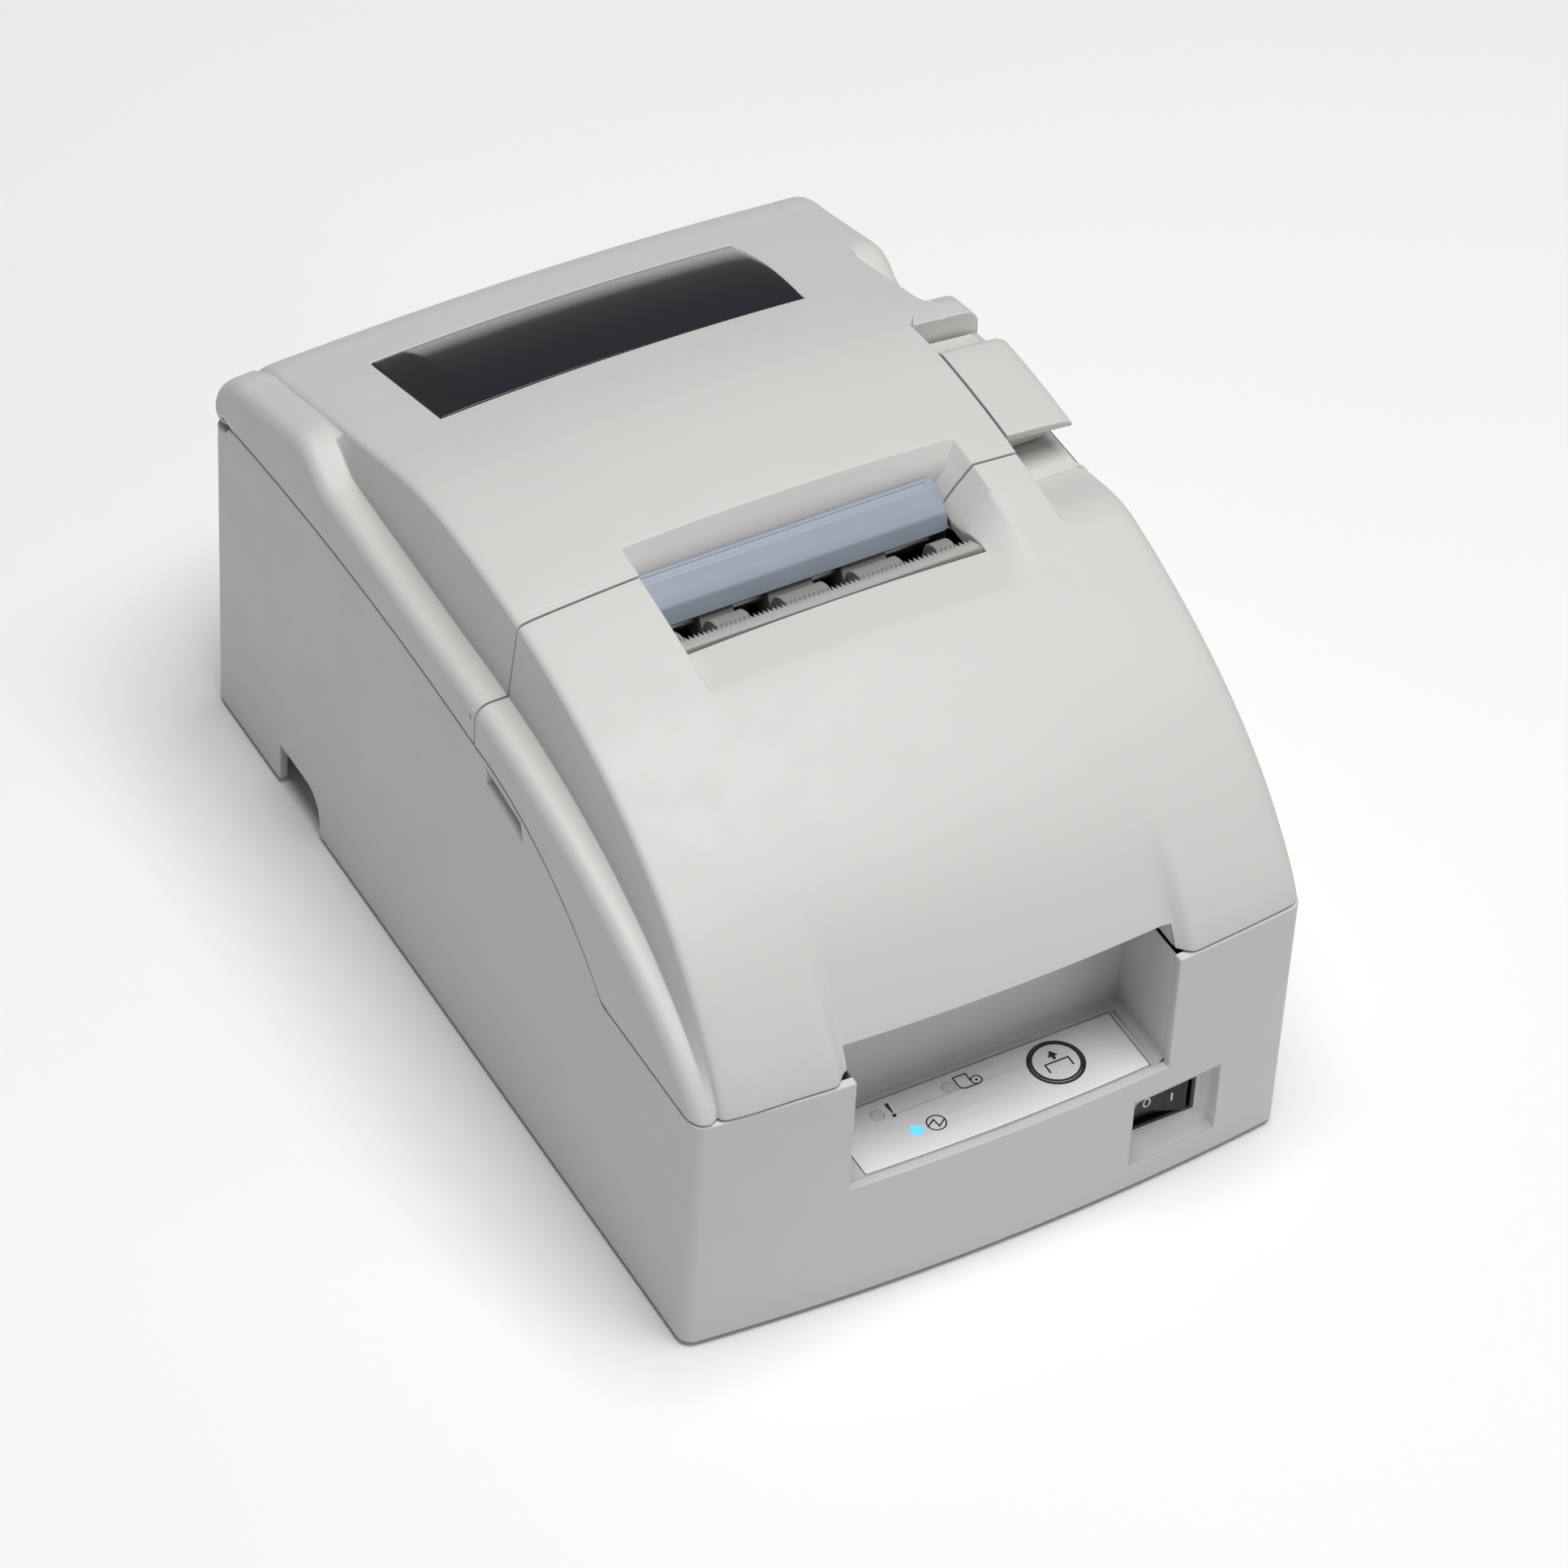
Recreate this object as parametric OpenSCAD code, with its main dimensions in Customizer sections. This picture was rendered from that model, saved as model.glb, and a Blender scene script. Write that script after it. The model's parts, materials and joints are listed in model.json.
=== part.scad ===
// Desktop dot matrix receipt printer.
// +X is the right-hand side, the front faces -Y, +Z is up.
// The origin is the middle of the footprint, on the surface that the printer stands on.

/* [Overall size] */
// Width over the side walls
body_w = 160; // [152:1:172]
// Depth from the front face to the rear wall
body_d = 248; // [244:1:256]
// Height over the crest of the covers
body_h = 138.5; // [136:0.5:146]

/* [Case] */
// Thickness of the moulded walls
wall = 2.5; // [2:0.1:3]
// Radius of the upright corners of the case
corner_r = 4; // [3:0.5:5]
// Radius of the shallow bow of the front face and of the crown of the covers
crown_r = 690; // [600:10:900]
// Height of the case's bottom rim over the surface
rim_z = 1.5; // [1:0.1:2]
// Height of the front seam between the case and the front cover
seam_front_z = 73.3; // [71:0.1:75]
// Highest point of the side seam
seam_top_z = 101.3; // [100:0.1:103]
// Gap along the seams
seam_gap = 0.6; // [0.5:0.05:0.8]

/* [Covers] */
// Where the front cover meets the rear cover
split_y = -12; // [-14:0.5:-10]
// Crest of the side profile
crest_y = 20; // [16:0.5:24]
// Height of the centre of the front cover's elliptical profile
front_ellipse_z = 60; // [56:0.5:62]
// Width of the rail along the left edge of the covers
rail_w = 8.5; // [7:0.5:10]
// Height of the rail at the middle of the printer
rail_z = 112.8; // [111:0.1:115]
// Radius of the rounded rear edge of the rear cover
rear_edge_r = 20; // [17:0.5:21]
// Radius of the rounded side edges of the covers
side_edge_r = 4; // [3:0.5:4.5]
// Slope of the flat stretch over the paper roll
rear_slope = 0.33; // [0.3:0.01:0.36]
// Depth of the sunk front between the visor and its cheeks
visor_depth = 3; // [2:0.25:4]
// Height of the visor's lower edge
visor_z = 79.3; // [78:0.1:81]

/* [Hinges] */
// Radius of the rear cover's hinge barrel
barrel_r = 4; // [3.6:0.1:4.2]
// Height of the rear hinge axis
rear_pivot_z = 96.5; // [96:0.25:98]
// Distance of the front hinge axis behind the front face
front_pivot_in = 11.5; // [11.25:0.05:11.75]
// Height of the front hinge axis
front_pivot_z = 80.3; // [80:0.1:80.6]
// Radius of the rear hinge pins
rear_pin_r = 1.5; // [1.3:0.1:1.7]
// Radius of the front hinge pins
front_pin_r = 1.3; // [1.2:0.05:1.4]
// Radial play of a pin in its bore
pin_play = 0.04; // [0.02:0.01:0.08]

/* [Control panel] */
// Left edge of the panel recess
panel_x0 = -40.5; // [-42:0.5:-39]
// Right edge of the panel recess
panel_x1 = 45.2; // [44:0.1:46]
// Height of the recess floor
panel_z = 37; // [35:0.5:39]
// Depth of the panel recess behind the front face
panel_d = 25.3; // [24:0.1:27]
// Thickness of the control plate
plate_t = 1.2; // [1:0.1:1.6]
// Radius of the feed button
button_r = 6.2; // [5.5:0.1:7]
// Travel of the feed button
button_travel = 0.8; // [0.6:0.1:1]
// Radius of each indicator light
light_r = 1.6; // [1.2:0.1:2]

/* [Power switch] */
// Left edge of the switch recess
switch_x0 = 36.2; // [35:0.1:38]
// Width of the switch recess
switch_w = 24; // [23:0.5:26]
// Height of the lower edge of the switch recess
switch_z0 = 10; // [9:0.5:11]
// Height of the switch recess
switch_h = 20.3; // [20:0.1:22]
// Width of the switch body
rocker_w = 19.6; // [19:0.1:20.5]
// Height of the switch body
rocker_h = 12.6; // [12:0.1:13.5]
// Depth of the switch behind the front face
switch_in = 6; // [5:0.5:7]

/* [Paper path] */
// Width of the paper
paper_w = 76; // [57:0.5:76]
// Middle of the paper path
paper_x = 1.8; // [0:0.1:3]
// Radius of the largest paper roll
roll_r = 41.5; // [38:0.5:42]
// Radius of the rubber feed sleeves
feed_r = 6; // [5.5:0.1:6.2]
// Radius of the pinch rollers
pinch_r = 4.5; // [4:0.1:4.8]
// Radius of the feed shaft
feed_shaft_r = 2.5; // [2:0.1:3]
// Pitch of the tear bar's teeth
tooth_pitch = 1.1; // [1:0.05:1.5]
// Height of the tear bar's teeth
tooth_h = 0.9; // [0.6:0.1:1.2]

/* [Mechanism] */
// Room beside the mechanism, for its gears and for the hinges of the covers
frame_room = 25; // [24.5:0.1:26]
// Thickness of the side frames
frame_t = 2; // [1.5:0.1:2.2]
// Radius of the carriage shaft
carriage_shaft_r = 3; // [2.5:0.1:3.5]
// Width of the carriage
carriage_w = 26; // [24:0.5:28]
// Travel of the carriage to each side
carriage_travel = 31; // [28:0.5:31]
// Radius of the print head
head_r = 12; // [11:0.25:12.5]
// Gear module
gear_m = 0.8; // [0.8:0.1:0.8]
// Teeth of the feed gear
feed_teeth = 20; // [20:1:20]
// Teeth of each idler gear
idler_teeth = 40; // [40:1:40]
// Teeth of the motor pinion
pinion_teeth = 12; // [12:1:12]
// Radius of the belt pulleys
pulley_r = 6; // [5.5:0.1:6.5]

/* [Cable notch] */
// Width of the notch in the left wall
notch_w = 21.5; // [18:0.5:24]
// Height of the notch
notch_h = 12; // [10:0.5:14]
// Front edge of the notch
notch_y = 66.6; // [64:0.5:68]

/* [Hidden] */

// Clearances
fit = 0.3;        // between neighbours that don't move against each other
run = 0.5;        // between moving neighbours
eps = 0.02;       // overlap of pieces that are fused in one solid
cut = 1;          // how far a cut runs past the face that it opens

// Faces of the body
hw = body_w / 2;
front_y = -body_d / 2;
rear_y = body_d / 2;
side_in = hw - wall;

// Seam between the case and the covers, seen from the side
seam_crest_y = 30;
seam_curve_r = 605;
seam_arc_y = split_y;
seam_arc_r = 90;
function seam_long(y) = seam_top_z - (y - seam_crest_y) * (y - seam_crest_y) / (2 * seam_curve_r);
seam_arc_z = seam_long(seam_arc_y) - seam_arc_r;
seam_kink_y = seam_arc_y - sqrt(pow(seam_arc_r, 2) - pow(seam_front_z - seam_arc_z, 2));
function seam_z(y) =
    y > seam_arc_y ? seam_long(y)
    : y > seam_kink_y ? seam_arc_z + sqrt(pow(seam_arc_r, 2) - pow(y - seam_arc_y, 2))
    : seam_front_z;
seam_step = 4;

// Hinge axes
rear_pivot = [rear_y - barrel_r, rear_pivot_z];
front_pivot = [front_y + front_pivot_in, front_pivot_z];
barrel_clear = barrel_r + run;
barrel_in = barrel_r - 0.1;   // the walls end just inside the barrel that they carry

// Side profile of the covers: an ellipse at the front, then an arc, a slope and a rounded rear edge
ellipse_a = crest_y - front_y + 0.6;
ellipse_b = body_h - front_ellipse_z;
slope_angle = atan(rear_slope);
crest_arc_r = 107;
slope_y = crest_y + crest_arc_r * sin(slope_angle);
slope_z = body_h - crest_arc_r * (1 - cos(slope_angle));
edge_c = [rear_y - rear_edge_r, rear_pivot_z];
// The slope ends where it is tangent to the rounded rear edge's circle
edge_start = [edge_c[0] + rear_edge_r * sin(slope_angle), edge_c[1] + rear_edge_r * cos(slope_angle)];

function mix(a, b, t) = a + (b - a) * t;
function ramp(a, b, v) = min(1, max(0, (v - a) / (b - a)));
function smooth(a, b, v) = let(t = ramp(a, b, v)) t * t * (3 - 2 * t);

// Rail along the left edge: an ellipse at the front and a slow rise at the rear
rail_c = [10, front_ellipse_z];
rail_a = rail_c[0] - front_y + 0.5;
rail_b = rail_z - rail_c[1];
rail_rise = 0.0386;

// One point of a profile is [y, z, normal y, normal z]
function main_front(t) =
    let(c = cos(t), s = sin(t), n = [-c / ellipse_a, s / ellipse_b], m = norm(n))
    [crest_y - ellipse_a * c, front_ellipse_z + ellipse_b * s, n[0] / m, n[1] / m];
function rail_front(t) =
    let(c = cos(t), s = sin(t), n = [-c / rail_a, s / rail_b], m = norm(n))
    [rail_c[0] - rail_a * c, rail_c[1] + rail_b * s, n[0] / m, n[1] / m];
function main_angle(y) = acos((crest_y - y) / ellipse_a);
function rail_angle(y) = acos((rail_c[0] - y) / rail_a);
function main_rear(y) =
    y < crest_y ? main_front(main_angle(y))
    : y < slope_y ? let(a = asin((y - crest_y) / crest_arc_r))
        [y, body_h - crest_arc_r * (1 - cos(a)), sin(a), cos(a)]
    : let(t = (y - slope_y) / (edge_start[0] - slope_y))
        [y, mix(slope_z, edge_start[1], t), sin(slope_angle), cos(slope_angle)];
function rail_height(y) = y < rail_c[0] ? rail_front(rail_angle(y))[1] : rail_z + rail_rise * (y - rail_c[0]);

// The crown sinks the surface towards the sides: square to it at the front, straight down at the rear
function crown(x) = x * x / (2 * crown_r);
function sink(p, x, w, d) =
    let(c = crown(x), n = p[0] < crest_y ? [p[2], p[3]] : [0, 1])
    [p[0] - n[0] * c - p[2] * (w + d), p[1] - n[1] * c - p[3] * (w + d)];

// A solid through a row of rings, each a list of 3-D points with as many points as the next
module loft(rings) {
    n = len(rings[0]);
    m = len(rings);
    polyhedron(
        points = [for (r = rings) each r],
        faces = concat(
            [[for (j = [n - 1 : -1 : 0]) j]],
            [for (i = [0 : m - 2]) for (j = [0 : n - 1])
                let(a = i * n + j, b = i * n + (j + 1) % n)
                each [[a, b + n, a + n], [a, b, b + n]]],
            [[for (j = [0 : n - 1]) (m - 1) * n + j]]
        )
    );
}

// An outline in the Y-Z plane, extruded along X from x0 to x1
module along_x(x0, x1) {
    translate([x0, 0, 0]) rotate([90, 0, 90]) linear_extrude(x1 - x0) children();
}
// A cylinder along X
module bar_x(x0, x1, r, y = 0, z = 0) {
    translate([x0, y, z]) rotate([0, 90, 0]) cylinder(r = r, h = x1 - x0, $fn = 48);
}
// A cylinder along Y
module bar_y(y0, y1, r, x = 0, z = 0) {
    translate([x, y0, z]) rotate([-90, 0, 0]) cylinder(r = r, h = y1 - y0, $fn = 48);
}
module block(lo, hi) {
    translate(lo) cube(hi - lo);
}

// ---------------------------------------------------------------- case

// Outline of the case in plan, drawn in by d
module plan(d) {
    r = max(corner_r - d, 0.8);
    intersection() {
        union() {
            translate([-hw + d, front_y - 10]) square([body_w - 2 * d, body_d + 10 - d - r]);
            translate([-hw + d + r, front_y]) square([body_w - 2 * (d + r), body_d - d]);
            for (s = [-1, 1]) translate([s * (hw - d - r), rear_y - d - r]) circle(r, $fn = 48);
        }
        translate([0, front_y + crown_r]) circle(crown_r - d, $fn = 200);
        front_corners(d, r);
    }
}
// Everything but the slivers that the rounded front corners leave out
module front_corners(d, r) {
    y = front_y + crown(hw) + d + r;
    union() {
        translate([-hw - 1, y]) square([body_w + 2, body_d]);
        translate([-hw + d + r, front_y - 20]) square([body_w - 2 * (d + r), 60]);
        for (s = [-1, 1]) translate([s * (hw - d - r), y]) circle(r, $fn = 48);
    }
}
// Outline of the case from the side: everything under the seam
module case_side() {
    top = barrel_r + run;
    polygon(concat(
        [[front_y - 5, rim_z], [front_y - 5, seam_front_z], [seam_kink_y, seam_front_z]],
        [for (y = [seam_kink_y + seam_step : seam_step : rear_pivot[0] - top - 1]) [y, seam_z(y)]],
        [for (a = [190 : 20 : 270]) rear_pivot + top * [cos(a), sin(a)]],
        [rear_pivot + [0, -top], [rear_y + 5, rear_pivot[1] - top], [rear_y + 5, rim_z]]
    ));
}

bay_z = 26;              // top of the ceiling over the connector bay
bay_y = rear_y - 64;     // front of the connector bay
bay_x = hw - 26;         // right-hand side of the connector bay
pad_z = rim_z + 3;       // top of the floor pads over the rear feet
pad_d = 26;              // how far the floor pads reach in from the rear wall
pad_w = 18;              // width of the left-hand floor pad
base_z = rim_z + 1;      // underside of the base plate
base_t = 2;              // thickness of the base plate
boss_r = 4;              // screw bosses of the case
boss_h = 14;
boss_x = side_in - boss_r;
boss_front_y = front_y + 22;
boss_rear_y = bay_y - wall - boss_r - 2;
screw_r = 1.5;
panel_y = front_y + panel_d;           // back wall of the panel recess
bevel = 9;                             // how far the recess's side walls stay below the seam
sweep_gap = 0.3;                       // play of the front cover's edge as it rolls past the case
shade_z = 86;                          // top of the wall behind the panel, under the visor
frame_gap = body_w - 2 * frame_room;   // distance between the mechanism's side frames
frame_x0 = -frame_gap / 2 - 1;         // inner face of the left side frame
frame_x1 = frame_gap / 2 - 1;          // inner face of the right side frame
socket_z = 8.6;                        // underside of the rear sockets
switch_back = front_y + switch_in;

module lower_case() color("gainsboro") {
    difference() {
        union() {
            difference() {
                intersection() {
                    translate([0, 0, rim_z]) linear_extrude(body_h) plan(0);
                    along_x(-hw - 1, hw + 1) case_side();
                }
                translate([0, 0, 0]) linear_extrude(body_h) plan(wall);
                front_bevel();
            }
            connector_bay();
            panel_walls();
            switch_walls();
            screw_bosses();
        }
        panel_opening();
        switch_opening();
        cable_notch();
        rear_cable_gate();
        socket_windows();
        finger_bevels();
    }
}
// The front wall's top edge falls away inwards, clear of the front cover's edge as it rolls past
function sweep_r(y) = norm([y - front_pivot[0], seam_front_z + seam_gap - front_pivot[1]]) + sweep_gap;
corner_y = front_y + crown(hw) + corner_r;
sweep_at = [
    [panel_x1 - wall, front_y + crown(panel_x1)], [60, front_y + crown(60)],
    [hw - corner_r, front_y + crown(hw - corner_r)],
    [hw - corner_r * (1 - sin(45)), corner_y - corner_r * cos(45)], [hw + 0.01, corner_y]
];
module front_bevel() {
    for (s = [0, 1]) mirror([s, 0, 0]) for (i = [0 : 3])
        translate([sweep_at[i][0], front_pivot[0], front_pivot[1]]) rotate([0, 90, 0])
            cylinder(
                r1 = sweep_r(sweep_at[i][1]), r2 = sweep_r(sweep_at[i + 1][1]),
                h = sweep_at[i + 1][0] - sweep_at[i][0], $fn = 64
            );
}
module connector_bay() {
    block([-side_in - eps, bay_y - wall, bay_z - wall], [side_in + eps, rear_y - wall + eps, bay_z]);
    block([-side_in - eps, bay_y - wall, rim_z], [side_in + eps, bay_y, bay_z - wall + eps]);
    block([bay_x, bay_y - eps, rim_z], [bay_x + wall, rear_y - wall + eps, bay_z - wall + eps]);
    block([bay_x + wall - eps, rear_y - wall - pad_d, rim_z], [side_in + eps, rear_y - wall + eps, pad_z]);
    block([-side_in - eps, rear_y - wall - pad_d, rim_z], [-side_in + pad_w, rear_y - wall + eps, pad_z]);
}
module panel_walls() {
    top = seam_front_z - bevel;
    block([panel_x0 - wall, front_y + 4, panel_z - wall], [panel_x1 + wall, panel_y + wall, panel_z]);
    block([panel_x0 - wall, panel_y, panel_z - wall], [panel_x1 + wall, panel_y + wall, shade_z]);
    for (x = [panel_x0 - wall, panel_x1])
        block([x, front_y + 4, panel_z - wall], [x + wall, panel_y + eps, top]);
}
module panel_opening() {
    block([panel_x0, front_y - cut, panel_z], [panel_x1, panel_y, seam_front_z + cut]);
    // Well that the control plate drops into, over its circuit board
    block([plate_x0 + 2, plate_y0 + 2, panel_z - wall - cut], [plate_x1 - 2, plate_y1 - 1.2, panel_z + cut]);
}
module switch_walls() {
    block(
        [switch_x0 - wall, front_y + 3.4, switch_z0 - wall],
        [switch_x0 + switch_w + wall, switch_back + wall, switch_z0 + switch_h + wall]
    );
}
// The recess opens up towards the front at its right and its lower edge
module switch_opening() {
    x1 = switch_x0 + switch_w;
    z1 = switch_z0 + switch_h;
    hull() {
        block([switch_x0, front_y - 6, switch_z0 - 0.6], [x1 + 0.4, front_y - 5, z1]);
        block([switch_x0, switch_back - 0.1, rocker_z0 - 1], [rocker_x0 + rocker_w + 1.5, switch_back, z1]);
    }
    block(
        [rocker_x0 - fit, switch_back - 1, rocker_z0 - fit],
        [rocker_x0 + rocker_w + fit, switch_back + wall + cut, rocker_z0 + rocker_h + fit]
    );
}
module screw_bosses() {
    for (s = [-1, 1]) for (y = [boss_front_y, boss_rear_y]) difference() {
        union() {
            translate([s * boss_x, y, base_z + base_t]) cylinder(r = boss_r, h = boss_h, $fn = 48);
            block(
                [s > 0 ? boss_x : -side_in - eps, y - boss_r, base_z + base_t],
                [s > 0 ? side_in + eps : -boss_x, y + boss_r, base_z + base_t + boss_h]
            );
        }
        translate([s * boss_x, y, base_z]) cylinder(r = screw_r + pin_play, h = boss_h, $fn = 48);
    }
}
module cable_notch() {
    r = 7;
    along_x(-hw - cut, -side_in + 0.1) union() {
        translate([notch_y, rim_z - cut]) square([notch_w, notch_h - r + cut]);
        translate([notch_y + r, rim_z - cut]) square([notch_w - r, notch_h + cut]);
        translate([notch_y + r, rim_z + notch_h - r]) circle(r, $fn = 48);
    }
}
module rear_cable_gate() {
    block([-side_in + pad_w + 2, rear_y - wall - cut, 0], [bay_x - 4, rear_y + cut, bay_z - wall - 4]);
}
module socket_windows() {
    for (s = sockets) block(
        [s[0] - s[1] / 2 - fit, bay_y - wall - cut, socket_z - fit],
        [s[0] + s[1] / 2 + fit, bay_y + cut, socket_z + s[2] + fit]
    );
}
// Hollows under the front cover's edge, where a finger gets under it
module finger_bevels() {
    for (s = [0, 1]) mirror([s, 0, 0])
        translate([hw, split_y - 7, seam_z(split_y - 12) - 4.5]) rotate([0, 24, 0])
            translate([-1.2, -17, -2]) cube([4, 17, 12]);
}

// x, width and height of the power inlet, the data socket and the drawer socket
sockets = [[-34, 14, 12], [-6, 13, 12], [24, 14, 13]];
socket_wall = 1.4;
socket_d = 16;

module base_plate() color("dimgray") {
    difference() {
        union() {
            difference() {
                translate([0, 0, base_z]) linear_extrude(base_t) plan(wall + fit);
                block([-hw, bay_y - wall - fit, 0], [hw, rear_y, 20]);
            }
            for (p = posts) translate([p[0], p[1], base_z + base_t - eps])
                cylinder(r = post_r, h = deck_z - base_z - base_t + eps, $fn = 48);
            for (p = standoffs) translate([p[0], p[1], base_z + base_t - eps])
                cylinder(r = 3, h = board_z - base_z - base_t + eps, $fn = 32);
        }
        for (s = [-1, 1]) for (y = [boss_front_y, boss_rear_y])
            translate([s * boss_x, y, 0]) cylinder(r = screw_r + 0.2, h = 10, $fn = 48);
        for (i = [0 : 6]) block([-30 + i * 9, 4, 0], [-30 + i * 9 + 3, 34, 8]);
    }
}

board_y0 = front_y + 40;
board_y1 = bay_y - wall - 13.5;
board_z = 8;             // underside of the main board
board_t = 1.6;
deck_z = 18;             // underside of the mechanism base
post_r = 4;
posts = [for (x = [frame_x0 + 10, frame_x1 - 10]) for (y = [front_y + 38, split_y + 6]) [x, y]];
standoffs = [for (x = [-hw + 18, hw - 18]) for (y = [board_y0 + 4, board_y1 - 4]) [x, y]];

foot_r = 6;
foot_x = hw - 14;
module rubber_feet() color("black") {
    for (s = [-1, 1]) {
        translate([s * foot_x, front_y + 34, 0]) foot(base_z);
        translate([s * (hw - wall - 9), rear_y - wall - pad_d / 2, 0]) foot(rim_z);
    }
}
module foot(h) {
    cylinder(r1 = foot_r - 0.5, r2 = foot_r, h = 0.5, $fn = 48);
    translate([0, 0, 0.5]) cylinder(r = foot_r, h = h - 0.5, $fn = 48);
}

module base_screws() color("silver") {
    for (s = [-1, 1]) for (y = [boss_front_y, boss_rear_y]) translate([s * boss_x, y, 0]) {
        translate([0, 0, base_z - 1.2]) difference() {
            cylinder(r = 2.8, h = 1.2, $fn = 32);
            for (a = [0, 90]) rotate([0, 0, a]) translate([-1.8, -0.35, -cut]) cube([3.6, 0.7, cut + 0.7]);
        }
        translate([0, 0, base_z - eps]) cylinder(r = screw_r, h = 10, $fn = 32);
    }
}

// ---------------------------------------------------------------- hinges

ear_x = side_in - 11.5;   // inner face of the rear hinge ears
ear_t = 4;
module rear_hinge_ears() color("gainsboro") {
    for (s = [0, 1]) mirror([s, 0, 0]) difference() {
        along_x(ear_x, ear_x + ear_t) union() {
            polygon([
                [rear_pivot[0] - 12, 78], [rear_y - wall, 78], [rear_y - wall, rear_pivot[1] - barrel_clear],
                rear_pivot + [3.4, -1], rear_pivot + [-3.4, -1]
            ]);
            translate(rear_pivot) circle(3.6, $fn = 48);
        }
        bar_x(ear_x - 1, ear_x + ear_t + 1, rear_pin_r + 0.01, rear_pivot[0], rear_pivot[1]);
    }
}
module rear_hinge_pins() color("silver") {
    for (s = [0, 1]) mirror([s, 0, 0])
        bar_x(ear_x, side_in - fit, rear_pin_r, rear_pivot[0], rear_pivot[1]);
}
module rear_hinge_knuckles() color("gainsboro") {
    for (s = [0, 1]) mirror([s, 0, 0]) difference() {
        bar_x(ear_x + ear_t + fit, side_in - 0.01, barrel_r, rear_pivot[0], rear_pivot[1]);
        bar_x(ear_x, side_in + 1, rear_pin_r + pin_play, rear_pivot[0], rear_pivot[1]);
    }
}

bracket_x = side_in - 11.5;
bracket_t = 5;
hub_r = 2.4;
stem_in = 9;             // from the hinge axis back to the stem
stem_d = 6;
lug_t = 2.5;
module front_hinge_brackets() color("gainsboro") {
    y = front_pivot[0];
    z = front_pivot[1];
    for (s = [0, 1]) mirror([s, 0, 0]) {
        difference() {
            along_x(bracket_x, bracket_x + bracket_t) union() {
                polygon([
                    [y, z - hub_r], [y + stem_in - 2, z - hub_r], [y + stem_in, z - hub_r - 3], [y + stem_in, 44],
                    [y + stem_in + stem_d, 44], [y + stem_in + stem_d, z - hub_r], [y + stem_in, z + hub_r],
                    [y, z + hub_r]
                ]);
                translate([y, z]) circle(hub_r, $fn = 48);
            }
            bar_x(bracket_x - 1, bracket_x + bracket_t + 1, front_pin_r + pin_play, y, z);
        }
        block([bracket_x + bracket_t - eps, y + stem_in, 44], [side_in, y + stem_in + stem_d, 66]);
    }
}
module front_hinge_pins() color("silver") {
    for (s = [0, 1]) mirror([s, 0, 0])
        bar_x(bracket_x - run - lug_t, bracket_x + bracket_t + run + lug_t, front_pin_r, front_pivot[0], front_pivot[1]);
}
// The front cover's lugs, on both sides of each bracket
module hinge_lugs() {
    y = front_pivot[0];
    z = front_pivot[1];
    for (s = [0, 1]) mirror([s, 0, 0]) for (x = [bracket_x - run - lug_t, bracket_x + bracket_t + run]) hull() {
        bar_x(x, x + lug_t, front_pin_r + 1.1, y, z);
        block([x, y + 1, z + 6], [x + lug_t, y + 9, z + 16]);
    }
}

// ---------------------------------------------------------------- covers

win_y0 = rear_y - 61;    // front edge of the window in the rear cover
win_y1 = win_y0 + 36;
lip = 0.5;               // half of the gap between the two covers
slot_x0 = paper_x - paper_w / 2 - 1.8;
slot_x1 = paper_x + paper_w / 2 + 1.7;
slot_back_x1 = slot_x1 + 8;
slot_front_y = split_y - 21;
slot_rear_y = split_y + 7.5;
apron_y = split_y - 36;
apron_d = 4;
scoop_y = split_y - 26;
lever_x0 = hw - 18.4;    // left edge of the lever's pocket
lever_floor = body_h - 16.5;   // floor of the lever's pocket
lever_back = 36.5;       // rear of the pocket
lever_mid = lever_x0 + 8.4;
step_x = hw - rail_w;    // foot of the hood's left wall

// How far the hood's left wall moves outwards towards the front
function flare(y) = 4.5 * pow(ramp(split_y, front_y, y), 2);

// Height that the finger scoop in front of the lever takes off the surface
function scoop(y, z) = (z - lever_floor - 0.6) * smooth(scoop_y, split_y + 1, y);

// The apron in front of the tear bar and the flared cheek at its right
function apron_sink(y, k) = k * apron_d * ramp(apron_y, slot_front_y, y)
    + k * 6 * smooth(slot_front_y, split_y - 4, y);

// The cheeks beside the visor come forward to the case, and the visor lies deeper
function visor_sink(z, v) =
    -1.5 * smooth(96, seam_front_z, z) + v * (visor_depth + 0.5) * smooth(108, visor_z, z);

// One station of the front cover: [x, rail, drop, visor, scoop, apron]
function front_point(i, n, s, w) =
    let(
        y1 = split_y - lip,
        p = s[1] > 0 ? rail_front(rail_angle(y1) * i / n) : main_front(main_angle(y1) * i / n),
        v = s[1] > 0 ? 0 : visor_sink(p[1], s[3]),
        q = s[1] > 0 ? [p[0] - p[2] * (w + s[2]), p[1] - p[3] * (w + s[2])] : sink(p, s[0], w, s[2] + v),
        z1 = q[1] - (s[4] > 0 ? s[4] * scoop(q[0], q[1] + w) : 0) - apron_sink(q[0], s[5]),
        x = abs(s[0] - step_out - 4) < 7.5 ? s[0] - flare(q[0]) : s[0]
    )
    [x, i == n ? y1 + (w > 1 ? 1 : 0) : min(q[0], y1), z1];
function front_ring(s, n, w) =
    let(p = [for (i = [0 : n]) front_point(i, n, s, w)])
    concat(
        [[s[0], p[0][1], front_ellipse_z - 5]],
        p,
        [[p[n][0], p[n][1], front_ellipse_z - 5]]
    );

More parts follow.
